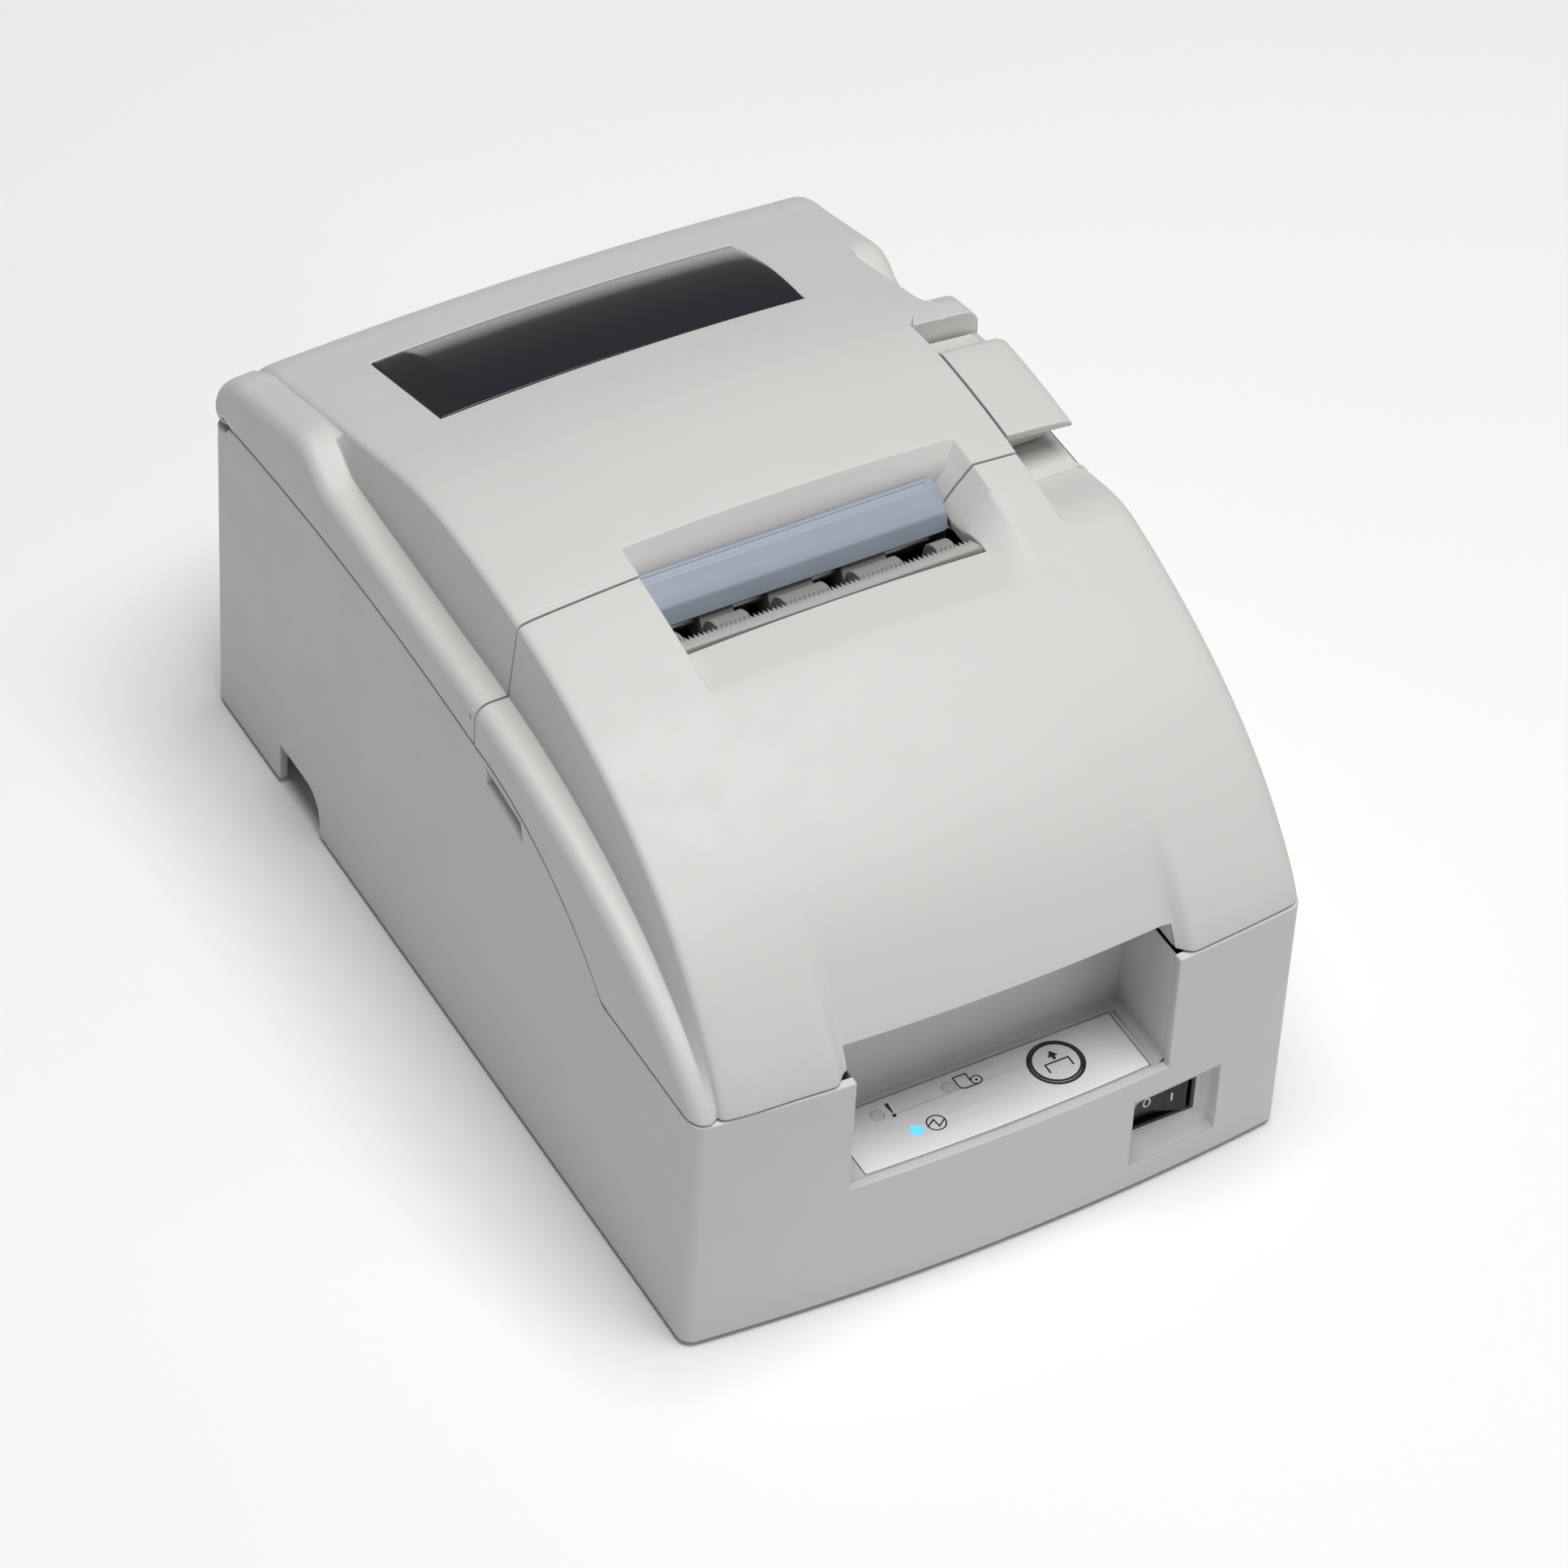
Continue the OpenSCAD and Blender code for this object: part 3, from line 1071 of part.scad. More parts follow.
frame_top = body_h - 16;
shaft_at = [split_y - 30, 78];
module frame_outline() {
    polygon([
        [front_y + 30, deck_z], [split_y + 20, deck_z], [split_y + 20, 60], [split_y - 2, 100],
        [feed_axis[0] + 5, feed_axis[1] + 5], [feed_axis[0] - 5, feed_axis[1] + 5],
        [tear_y - 14, frame_top - 9], [front_y + 44, 90], [front_y + 30, 84]
    ]);
}
module side_frames() color("silver") {
    for (x = [frame_x0 - frame_t, frame_x1]) difference() {
        along_x(x, x + frame_t) frame_outline();
        bar_x(x - 1, x + frame_t + 1, feed_shaft_r + pin_play, feed_axis[0], feed_axis[1]);
        bar_x(x - 1, x + frame_t + 1, carriage_shaft_r + 0.01, shaft_at[0], shaft_at[1]);
        bar_x(x - 1, x + frame_t + 1, 11, split_y - 46, 52);
        if (x < 0) bar_x(x - 1, x + frame_t + 1, motor_boss_r, pinion_axis[0], pinion_axis[1]);
    }
    // Studs that the idler gears turn on
    for (a = [upper_axis, lower_axis]) {
        bar_x(gear_x0 - 1, frame_x0 - frame_t, idler_hub, a[0], a[1]);
        bar_x(gear_x0 + gear_w + 0.3, frame_x0 - frame_t, idler_hub + 1.5, a[0], a[1]);
    }
}
module mechanism_base() color("silver") {
    difference() {
        union() {
            block([frame_x0, front_y + 31, deck_z], [frame_x1, split_y + 19, deck_z + 1.6]);
            block([frame_x0, front_y + 31, deck_z], [frame_x1, front_y + 32.6, deck_z + 14]);
        }
        block([-30, -70, deck_z - 1], [28, -30, deck_z + 3]);
    }
}

idler_hub = 2;
motor_boss_r = 3;
gear_x0 = frame_x0 - frame_t - 6;
gear_w = 4;
function gear_r(n) = n * gear_m / 2;
// The three gear steps from the feed gear down to the motor pinion
upper_axis = feed_axis + (gear_r(feed_teeth) + gear_r(idler_teeth)) * [sin(7), -cos(7)];
lower_axis = upper_axis + 2 * gear_r(idler_teeth) * [sin(17), -cos(17)];
pinion_axis = lower_axis + (gear_r(idler_teeth) + gear_r(pinion_teeth)) * [sin(22), -cos(22)];

// A spur gear with flat-sided teeth, its axis along X, turned by phase degrees
module spur(n, w, bore, phase) {
    r = gear_r(n);
    step = 360 / n;
    difference() {
        linear_extrude(w) rotate(phase) polygon([for (i = [0 : n - 1]) for (t = [
            [-0.31, r - 1.05 * gear_m], [-0.2, r], [-0.1, r + 0.75 * gear_m],
            [0.1, r + 0.75 * gear_m], [0.2, r], [0.31, r - 1.05 * gear_m]
        ]) t[1] * [cos((i + t[0]) * step), sin((i + t[0]) * step)]]);
        translate([0, 0, -1]) cylinder(r = bore, h = w + 2, $fn = 48);
    }
}
// Angle of the line from one axis to the next in the Y-Z plane
function heading(a, b) = atan2(b[1] - a[1], b[0] - a[0]);
// Phases: a tooth of the first gear points along each line of centres, and the next has a gap there
feed_phase = heading(feed_axis, upper_axis);
upper_phase = heading(upper_axis, feed_axis) + 180 / idler_teeth;
upper_gap = heading(upper_axis, lower_axis);
lower_phase = heading(lower_axis, upper_axis) + 180 / idler_teeth
    + (upper_gap - upper_phase - round((upper_gap - upper_phase) / (360 / idler_teeth)) * (360 / idler_teeth));
lower_gap = heading(lower_axis, pinion_axis);
pinion_phase = heading(pinion_axis, lower_axis) + 180 / pinion_teeth
    + (lower_gap - lower_phase - round((lower_gap - lower_phase) / (360 / idler_teeth)) * (360 / idler_teeth))
        * idler_teeth / pinion_teeth;

module geared(axis, n, bore, phase) {
    translate([gear_x0, axis[0], axis[1]]) rotate([90, 0, 90]) spur(n, gear_w, bore, phase);
}
module feed_gear() color("ivory") {
    geared(feed_axis, feed_teeth, feed_shaft_r + 0.005, feed_phase);
}
module idler_gear(axis, phase) {
    geared(axis, idler_teeth, idler_hub + pin_play, phase);
}
module idler_gear_upper() color("ivory") idler_gear(upper_axis, upper_phase);
module idler_gear_lower() color("ivory") idler_gear(lower_axis, lower_phase);
module feed_pinion() color("goldenrod") {
    geared(pinion_axis, pinion_teeth, 1, pinion_phase);
}
motor_r = 13;
module feed_motor() color([0.45, 0.46, 0.48]) {
    y = pinion_axis[0];
    z = pinion_axis[1];
    union() {
        bar_x(frame_x0, frame_x0 + 26, motor_r, y, z);
        bar_x(gear_x0 + gear_w + 0.4, frame_x0 + eps, motor_boss_r, y, z);
    }
}

module carriage_shaft() color("silver") {
    bar_x(frame_x0 - frame_t - 1, frame_x1 + frame_t + 1, carriage_shaft_r, shaft_at[0], shaft_at[1]);
}
rail_y = shaft_at[0] - 22;
module carriage_rail() color("silver") {
    block([frame_x0, rail_y - 6, 70], [frame_x1, rail_y + 2, 71.2]);
    block([frame_x0, rail_y - 6, 62], [frame_x1, rail_y - 4.8, 70 + eps]);
}
module carriage() color([0.15, 0.15, 0.16]) {
    y = shaft_at[0];
    z = shaft_at[1];
    difference() {
        union() {
            block([paper_x - carriage_w / 2, y - 6, z - 6], [paper_x + carriage_w / 2, y + 6, z + 4]);
            block([paper_x - carriage_w / 2, rail_y - 2, 71.2 + fit], [paper_x + carriage_w / 2, y - 5, z + 3]);
            block([paper_x - 6, belt_y, belt_z + pulley_r + 1.5], [paper_x + 6, belt_y + 6, 71.2 + fit + 2]);
            block([paper_x - 6, belt_y, 71.2 + fit], [paper_x + 6, y - 5, z - 2]);
        }
        bar_x(paper_x - carriage_w, paper_x + carriage_w, carriage_shaft_r + pin_play, y, z);
    }
}
head_y1 = platen_y - 2.2;
head_z = 94;
module print_head() color([0.2, 0.2, 0.22]) {
    z0 = shaft_at[1] + 4;
    union() {
        bar_y(shaft_at[0] - 10, shaft_at[0] + 8, head_r, paper_x, head_z + 1.5);
        for (i = [0 : 3]) bar_y(shaft_at[0] - 9 + i * 4, shaft_at[0] - 7.6 + i * 4, head_r + 1, paper_x, head_z + 1.5);
        translate([paper_x, shaft_at[0] + 8 - eps, head_z]) rotate([-90, 0, 0]) cylinder(r1 = 8, r2 = 4, h = 8, $fn = 48);
        block([paper_x - 2.5, shaft_at[0] + 15, head_z - 4], [paper_x + 2.5, head_y1, head_z + 4]);
        block([paper_x - 8, shaft_at[0] - 6, z0], [paper_x + 8, shaft_at[0] + 6, z0 + 8]);
    }
}

belt_y = shaft_at[0] - 36;
belt_z = 46;
belt_x0 = frame_x0 + 10;
belt_x1 = frame_x1 - 14;
belt_t = 1;
carriage_motor_r = 14;
module pulley(x, shaft) {
    difference() {
        union() {
            bar_y(belt_y, belt_y + 6, pulley_r, x, belt_z);
            bar_y(belt_y - 1.2, belt_y - 0.3, pulley_r + 1.2, x, belt_z);
            bar_y(belt_y - 0.3 - eps, belt_y + eps, pulley_r - 0.4, x, belt_z);
        }
        bar_y(belt_y - 3, belt_y + 8, shaft, x, belt_z);
        for (a = [0 : 60 : 300]) translate([x + 4 * cos(a), belt_y - 2, belt_z + 4 * sin(a)])
            rotate([-90, 0, 0]) cylinder(r = 0.8, h = 10, $fn = 24);
    }
}
module drive_pulley() color("goldenrod") pulley(belt_x1, 1.5 + pin_play);
module idler_pulley() color("ivory") pulley(belt_x0, 1.5 + pin_play);
module carriage_belt() color([0.1, 0.1, 0.1]) {
    r = pulley_r + 0.3;
    difference() {
        translate([0, belt_y + 5.7, 0]) rotate([90, 0, 0]) linear_extrude(5.4) belt_outline(r + belt_t);
        translate([0, belt_y + 6, 0]) rotate([90, 0, 0]) linear_extrude(6) belt_outline(r);
    }
}
module belt_outline(r) {
    union() {
        for (x = [belt_x0, belt_x1]) translate([x, belt_z]) circle(r, $fn = 48);
        translate([belt_x0, belt_z - r]) square([belt_x1 - belt_x0, 2 * r]);
    }
}
module carriage_motor() color([0.45, 0.46, 0.48]) {
    union() {
        bar_y(belt_y + 8, belt_y + 32, carriage_motor_r, belt_x1, belt_z);
        bar_y(belt_y - 2, belt_y + 8 + eps, 1.5, belt_x1, belt_z);
        bar_y(belt_y + 6.6, belt_y + 8, 4, belt_x1, belt_z);
        // Foot on the mechanism base
        block([belt_x1 - 10, belt_y + 8, deck_z + 1.6], [belt_x1 + 8, belt_y + 12, belt_z]);
        // Bracket and pin of the idler pulley
        bar_y(belt_y - 2, belt_y + 10, 1.5, belt_x0, belt_z);
    }
    block([belt_x0 - 5, belt_y + 7, deck_z + 1.6], [belt_x0 + 5, belt_y + 10, belt_z + 5]);
}

cass_x0 = frame_x0 + 2;
cass_x1 = frame_x1 - 2;
cass_y0 = front_y + 38;
cass_y1 = shaft_at[0] - 14;
cass_z0 = 87.6;
cass_h = 12;
arm_w = 5.6;
ribbon_y = platen_y - 1.8;
arm_y1 = ribbon_y + 1.2;
module cassette_deck() color("silver") {
    difference() {
        block([frame_x0, cass_y0 - 2, cass_z0 - 1.6], [frame_x1, cass_y1, cass_z0]);
        block([-30, cass_y0 + 6, cass_z0 - 3], [28, cass_y1 - 8, cass_z0 + 1]);
    }
}
module ribbon_cassette() color([0.12, 0.12, 0.13]) {
    difference() {
        union() {
            block([cass_x0, cass_y0, cass_z0], [cass_x1, cass_y1, cass_z0 + cass_h]);
            for (x = [cass_x0, cass_x1 - arm_w])
                block([x, cass_y1 - eps, cass_z0 + 1], [x + arm_w, arm_y1, cass_z0 + cass_h - 2]);
            for (i = [-4 : 4]) block(
                [i * 10 - 1, cass_y0 + 4, cass_z0 + cass_h - eps], [i * 10 + 1, cass_y0 + 9, cass_z0 + cass_h + 0.5]
            );
        }
        // Slots that the ribbon leaves by
        for (x = [cass_x0, cass_x1 - arm_w])
            block([x - 1, ribbon_y - 0.6, cass_z0 + 2.6], [x + arm_w + 1, ribbon_y + 0.6, cass_z0 + cass_h + 1]);
        translate([knob_at[0], knob_at[1], cass_z0 + 2]) cylinder(r = 2 + pin_play, h = cass_h + 5, $fn = 32);
    }
}
module ribbon() color([0.05, 0.05, 0.06]) {
    block([cass_x0 + 1, ribbon_y - 0.1, cass_z0 + 2.6], [cass_x1 - 1, ribbon_y + 0.1, cass_z0 + cass_h - 2.4]);
}
knob_at = [36, cass_y0 + 16];
module ribbon_knob() color([0.5, 0.52, 0.55]) {
    translate([knob_at[0], knob_at[1], 0]) difference() {
        union() {
            translate([0, 0, cass_z0 + cass_h + fit]) cylinder(r = 7, h = 4, $fn = 48);
            translate([0, 0, cass_z0 + 3]) cylinder(r = 2, h = cass_h + 2, $fn = 32);
        }
        for (a = [0 : 30 : 330]) rotate([0, 0, a]) translate([7.2, 0, cass_z0 + cass_h])
            cylinder(r = 0.9, h = 6, $fn = 24);
    }
}

// ---------------------------------------------------------------- electronics

// Components of the main board: left, front, width, depth and height
chips = [
    [-20, -40, 22, 22, 1.8], [20, -50, 14, 14, 1.6], [-40, -24, 18, 10, 1.6], [18, 10, 26, 12, 2],
    [-56, 22, 10, 18, 7]
];
module main_board() color("seagreen") {
    z = board_z;
    difference() {
        union() {
            block([-hw + 12, board_y0, z], [hw - 12, board_y1, z + board_t]);
            for (c = chips)
                block([c[0], c[1], z + board_t - eps], [c[0] + c[2], c[1] + c[3], z + board_t + c[4]]);
            for (p = [[-1, -40], [-1, -54], [1, -20], [1, -34], [1, 30]])
                translate([p[0] * (hw - 21), p[1], z + board_t - eps]) cylinder(r = 4, h = 7, $fn = 32);
        }
        for (p = posts) translate([p[0], p[1], z - 1]) cylinder(r = post_r + fit, h = board_t + 2, $fn = 48);
    }
}
module interface_board() color("seagreen") {
    block([-48, bay_y - wall - 12.4, board_z - 1.4], [40, bay_y - wall - fit, board_z - 1.4 + 1.6]);
    for (x = [-46, 34]) block([x, bay_y - wall - 10, base_z + base_t], [x + 4, bay_y - wall - 4, board_z - 1.4 + eps]);
}
module socket(i) {
    s = sockets[i];
    difference() {
        block(
            [s[0] - s[1] / 2, bay_y - socket_d + 1.5, socket_z],
            [s[0] + s[1] / 2, bay_y + 1.5, socket_z + s[2]]
        );
        block(
            [s[0] - s[1] / 2 + socket_wall, bay_y - socket_d + 5, socket_z + socket_wall],
            [s[0] + s[1] / 2 - socket_wall, bay_y + 3, socket_z + s[2] - socket_wall]
        );
    }
}
module power_inlet() color([0.1, 0.1, 0.1]) {
    union() {
        socket(0);
        for (x = [-2.4, 0, 2.4]) bar_y(bay_y - socket_d + 4, bay_y - 4.5, 0.6, sockets[0][0] + x, socket_z + (x == 0 ? 7.4 : 4.6));
    }
}
module data_socket() color("silver") {
    union() {
        socket(1);
        block([sockets[1][0] - 2.8, bay_y - socket_d + 4, socket_z + 4.4], [sockets[1][0] + 2.8, bay_y - 2, socket_z + 7.6]);
    }
}
module drawer_socket() color([0.1, 0.1, 0.1]) socket(2);

lower_case();
base_plate();
rubber_feet();
base_screws();
rear_hinge_ears();
rear_hinge_pins();
front_hinge_brackets();
roll_bay();
rear_cover();
window();
rear_hinge_knuckles();
guide_bar();
platen();
pinch_rollers();
open_lever();
lever_pin();
lever_spring();
latch_hook();
latch_strike();
front_cover();
front_hinge_pins();
control_plate();
panel_board();
feed_button();
indicator_lights();
power_switch();
power_rocker();
side_frames();
mechanism_base();
tear_bar();
feed_roller();
feed_gear();
idler_gear_upper();
idler_gear_lower();
feed_motor();
feed_pinion();
carriage_shaft();
carriage_rail();
carriage();
print_head();
carriage_motor();
drive_pulley();
idler_pulley();
carriage_belt();
cassette_deck();
ribbon_cassette();
ribbon();
ribbon_knob();
main_board();
interface_board();
power_inlet();
data_socket();
drawer_socket();
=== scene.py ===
"""A desktop dot matrix receipt printer: detailed pieces, materials and light around its solid model."""

import json
from math import acos, asin, atan, cos, dist, hypot, pi, radians, sin, sqrt

import bmesh
import bpy
from mathutils import Matrix, Vector
from mathutils.geometry import tessellate_polygon


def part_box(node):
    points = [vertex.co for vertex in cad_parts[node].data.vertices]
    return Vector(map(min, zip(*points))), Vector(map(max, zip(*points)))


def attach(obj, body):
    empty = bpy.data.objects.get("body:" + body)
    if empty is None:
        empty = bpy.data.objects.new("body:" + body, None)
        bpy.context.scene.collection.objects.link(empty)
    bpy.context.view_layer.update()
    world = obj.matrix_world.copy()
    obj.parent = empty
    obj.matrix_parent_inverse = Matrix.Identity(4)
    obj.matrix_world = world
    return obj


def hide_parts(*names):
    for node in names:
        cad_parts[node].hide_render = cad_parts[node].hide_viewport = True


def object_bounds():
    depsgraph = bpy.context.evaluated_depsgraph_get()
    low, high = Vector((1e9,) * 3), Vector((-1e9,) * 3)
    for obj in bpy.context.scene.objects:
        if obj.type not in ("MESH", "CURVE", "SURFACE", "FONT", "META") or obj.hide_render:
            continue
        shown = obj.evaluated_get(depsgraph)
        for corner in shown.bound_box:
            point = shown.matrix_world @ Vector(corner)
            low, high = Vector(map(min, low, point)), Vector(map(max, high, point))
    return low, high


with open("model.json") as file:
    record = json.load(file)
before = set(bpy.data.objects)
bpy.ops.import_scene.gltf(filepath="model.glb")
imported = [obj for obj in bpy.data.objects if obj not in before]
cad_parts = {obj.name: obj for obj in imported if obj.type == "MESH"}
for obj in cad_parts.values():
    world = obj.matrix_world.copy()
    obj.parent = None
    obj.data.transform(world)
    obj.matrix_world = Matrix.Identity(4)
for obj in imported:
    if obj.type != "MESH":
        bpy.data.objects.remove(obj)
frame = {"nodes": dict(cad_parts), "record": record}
nodes = frame["nodes"]
solid_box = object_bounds()

MM = 0.001


def in_mm(box):
    """The two corners of a box that is given in metres."""
    return [tuple(c / MM for c in corner) for corner in box]


def new_object(name, data):
    obj = bpy.data.objects.new(name, data)
    bpy.context.scene.collection.objects.link(obj)
    return obj


def set_inputs(node, **values):
    """Sets a shader node's inputs by name; an underscore stands for a space."""
    for name, value in values.items():
        node.inputs[name.replace("_", " ")].default_value = value


def add_node(tree, kind, **values):
    node = tree.nodes.new("ShaderNode" + kind)
    set_inputs(node, **values)
    return node


# ---- camera

CAMERA_AZIMUTH = radians(-31.575)
CAMERA_ELEVATION = radians(44.206)
CAMERA_ROLL = radians(3.532)
CAMERA_DISTANCE = 1.8
CAMERA_RIGHT = 11.4 * MM  # how far the middle of the view lies beside the origin
CAMERA_UP = 30.14 * MM
FOCAL_LENGTH = 170.25  # millimetres, on a square sensor of this width
SENSOR_WIDTH = 36


def place_camera():
    a, e = CAMERA_AZIMUTH, CAMERA_ELEVATION
    back = Vector((sin(a) * cos(e), -cos(a) * cos(e), sin(e)))
    level = (-back).cross(Vector((0, 0, 1))).normalized()
    upright = back.cross(level)
    right = level * cos(CAMERA_ROLL) + upright * sin(CAMERA_ROLL)
    up = upright * cos(CAMERA_ROLL) - level * sin(CAMERA_ROLL)
    data = bpy.data.cameras.new("camera")
    data.lens = FOCAL_LENGTH
    data.sensor_width = SENSOR_WIDTH
    data.clip_start = 0.1
    data.clip_end = 20
    camera = new_object("camera", data)
    place = right * CAMERA_RIGHT + up * CAMERA_UP + back * CAMERA_DISTANCE
    turn = Matrix((right, up, back)).transposed().to_4x4()
    camera.matrix_world = Matrix.Translation(place) @ turn
    bpy.context.scene.camera = camera


# ---- light and floor, in metres

LAMP_AIM = Vector((0, 0, 0.06))
FLOOR_SIZE = 6


def lamp(name, place, size, watts):
    data = bpy.data.lights.new(name, "AREA")
    data.shape = "SQUARE"
    data.size = size
    data.energy = watts
    obj = new_object(name, data)
    obj.location = place
    obj.rotation_euler = (LAMP_AIM - Vector(place)).to_track_quat("-Z", "Y").to_euler()


def seen_directly(tree):
    """1 where the sky is looked at, through glass too, and 0 where it lights or is mirrored."""
    path = add_node(tree, "LightPath")
    either = add_node(tree, "Math")
    either.operation = "MAXIMUM"
    tree.links.new(path.outputs["Is Camera Ray"], either.inputs[0])
    tree.links.new(path.outputs["Is Transmission Ray"], either.inputs[1])
    return either.outputs[0]


def light_scene():
    lamp("key", (0.05, -0.24, 1.75), 1.1, 29)
    lamp("fill_front", (0.9, -1.5, 0.8), 0.9, 3.6)
    world = bpy.data.worlds.new("studio")
    bpy.context.scene.world = world
    world.use_nodes = True
    tree = world.node_tree
    tree.nodes.clear()
    around = add_node(tree, "Background", Color=(0.95, 0.97, 1, 1), Strength=0.16)
    behind = add_node(tree, "Background", Color=(1, 1, 1, 1), Strength=1)
    either = add_node(tree, "MixShader")
    out = add_node(tree, "OutputWorld")
    tree.links.new(seen_directly(tree), either.inputs[0])
    tree.links.new(around.outputs[0], either.inputs[1])
    tree.links.new(behind.outputs[0], either.inputs[2])
    tree.links.new(either.outputs[0], out.inputs["Surface"])
    bpy.context.scene.view_settings.view_transform = "Standard"


def lay_floor():
    """A white floor that keeps the printer's shadow."""
    half = FLOOR_SIZE / 2
    corners = [(-half, -half, 0), (half, -half, 0), (half, half, 0), (-half, half, 0)]
    mesh = bpy.data.meshes.new("floor")
    mesh.from_pydata(corners, [], [(0, 1, 2, 3)])
    floor = new_object("floor", mesh)
    mat, tree, shader = principled("floor")
    paint(tree, shader, texture(tree, 6, 2), (0.91, 0.91, 0.91), (0.93, 0.93, 0.93))
    set_inputs(shader, Roughness=0.9, Specular_IOR_Level=0.1)
    mesh.materials.append(mat)


# ---- materials

MOTTLE = 0.015  # how far a moulded piece's colour strays to each side


def principled(name):
    mat = bpy.data.materials.new(name)
    mat.use_nodes = True
    tree = mat.node_tree
    tree.nodes.clear()
    shader = add_node(tree, "BsdfPrincipled")
    out = add_node(tree, "OutputMaterial")
    tree.links.new(shader.outputs[0], out.inputs["Surface"])
    return mat, tree, shader


def texture(tree, scale, detail, stretch=None):
    """Noise over the object's own place in metres, stretched along its axes where stretch is given."""
    place = add_node(tree, "TexCoord").outputs["Object"]
    if stretch:
        mapping = add_node(tree, "Mapping", Scale=stretch)
        tree.links.new(place, mapping.inputs["Vector"])
        place = mapping.outputs["Vector"]
    noise = add_node(tree, "TexNoise", Scale=scale, Detail=detail)
    tree.links.new(place, noise.inputs["Vector"])
    return noise.outputs["Fac"]


def blend_colours(tree, factor, low, high):
    blend = add_node(tree, "Mix")
    blend.data_type = "RGBA"
    tree.links.new(factor, blend.inputs["Factor"])
    set_inputs(blend, A=(*low, 1), B=(*high, 1))
    return blend.outputs["Result"]


def paint(tree, shader, factor, low, high):
    tree.links.new(blend_colours(tree, factor, low, high), shader.inputs["Base Color"])


def roughen(tree, shader, noise, low, high):
    """A roughness that runs from low to high over the usual span of noise."""
    span = add_node(tree, "MapRange", From_Min=0.3, From_Max=0.7, To_Min=low, To_Max=high)
    tree.links.new(noise, span.inputs["Value"])
    tree.links.new(span.outputs["Result"], shader.inputs["Roughness"])


def bump(tree, shader, height, strength, depth):
    """A relief of a depth in millimetres."""
    node = add_node(tree, "Bump", Strength=strength, Distance=depth * MM)
    tree.links.new(height, node.inputs["Height"])
    tree.links.new(node.outputs["Normal"], shader.inputs["Normal"])


def shade(colour, factor):
    return tuple(min(1, c * factor) for c in colour)


def moulded(name, colour, roughness, grain=1500, relief=0.2):
    """Moulded plastic or rubber: a fine spark-eroded grain, a slight mottle and patches of handling."""
    mat, tree, shader = principled(name)
    paint(tree, shader, texture(tree, 35, 3), shade(colour, 1 - MOTTLE), shade(colour, 1 + MOTTLE))
    roughen(tree, shader, texture(tree, 80, 4), roughness - 0.05, roughness + 0.05)
    bump(tree, shader, texture(tree, grain, 3), relief, 0.06)
    return mat


def brushed(name, colour, roughness, stretch=(4, 260, 260)):
    """Metal with fine drawn lines along the axis of its least stretch."""
    mat, tree, shader = principled(name)
    lines = texture(tree, 12, 3, stretch)
    paint(tree, shader, lines, shade(colour, 0.9), colour)
    roughen(tree, shader, lines, roughness - 0.08, roughness + 0.08)
    set_inputs(shader, Metallic=1)
    bump(tree, shader, lines, 0.15, 0.04)
    return mat


def glossy(name, colour, roughness, coat):
    """Polished plastic with faint flow marks and fine dust in its gloss."""
    mat, tree, shader = principled(name)
    paint(tree, shader, texture(tree, 20, 2), shade(colour, 0.85), shade(colour, 1.15))
    roughen(tree, shader, texture(tree, 900, 3), roughness, roughness + 0.06)
    set_inputs(shader, Specular_IOR_Level=0.3, Coat_Weight=coat, Coat_Roughness=0.05)
    bump(tree, shader, texture(tree, 30, 1), 0.04, 0.4)
    return mat


def glowing(name, colour, strength):
    """A lit lens, with a faint unevenness of the diffuser."""
    mat, tree, shader = principled(name)
    tint = blend_colours(tree, texture(tree, 700, 2), shade(colour, 0.8), colour)
    tree.links.new(tint, shader.inputs["Base Color"])
    tree.links.new(tint, shader.inputs["Emission Color"])
    set_inputs(shader, Emission_Strength=strength, Roughness=0.3)
    return mat


def circuit_board(name):
    """Green solder mask over a faint grid of copper tracks."""
    mat, tree, shader = principled(name)
    place = add_node(tree, "TexCoord").outputs["Object"]
    tracks = add_node(
        tree, "TexBrick", Scale=160, Mortar_Size=0.03, Mortar=(0.05, 0.3, 0.13, 1),
        Color1=(0.012, 0.13, 0.05, 1), Color2=(0.016, 0.16, 0.06, 1)
    )
    tree.links.new(place, tracks.inputs["Vector"])
    tree.links.new(tracks.outputs["Color"], shader.inputs["Base Color"])
    roughen(tree, shader, texture(tree, 200, 2), 0.3, 0.42)
    bump(tree, shader, tracks.outputs["Fac"], 0.2, 0.05)
    return mat


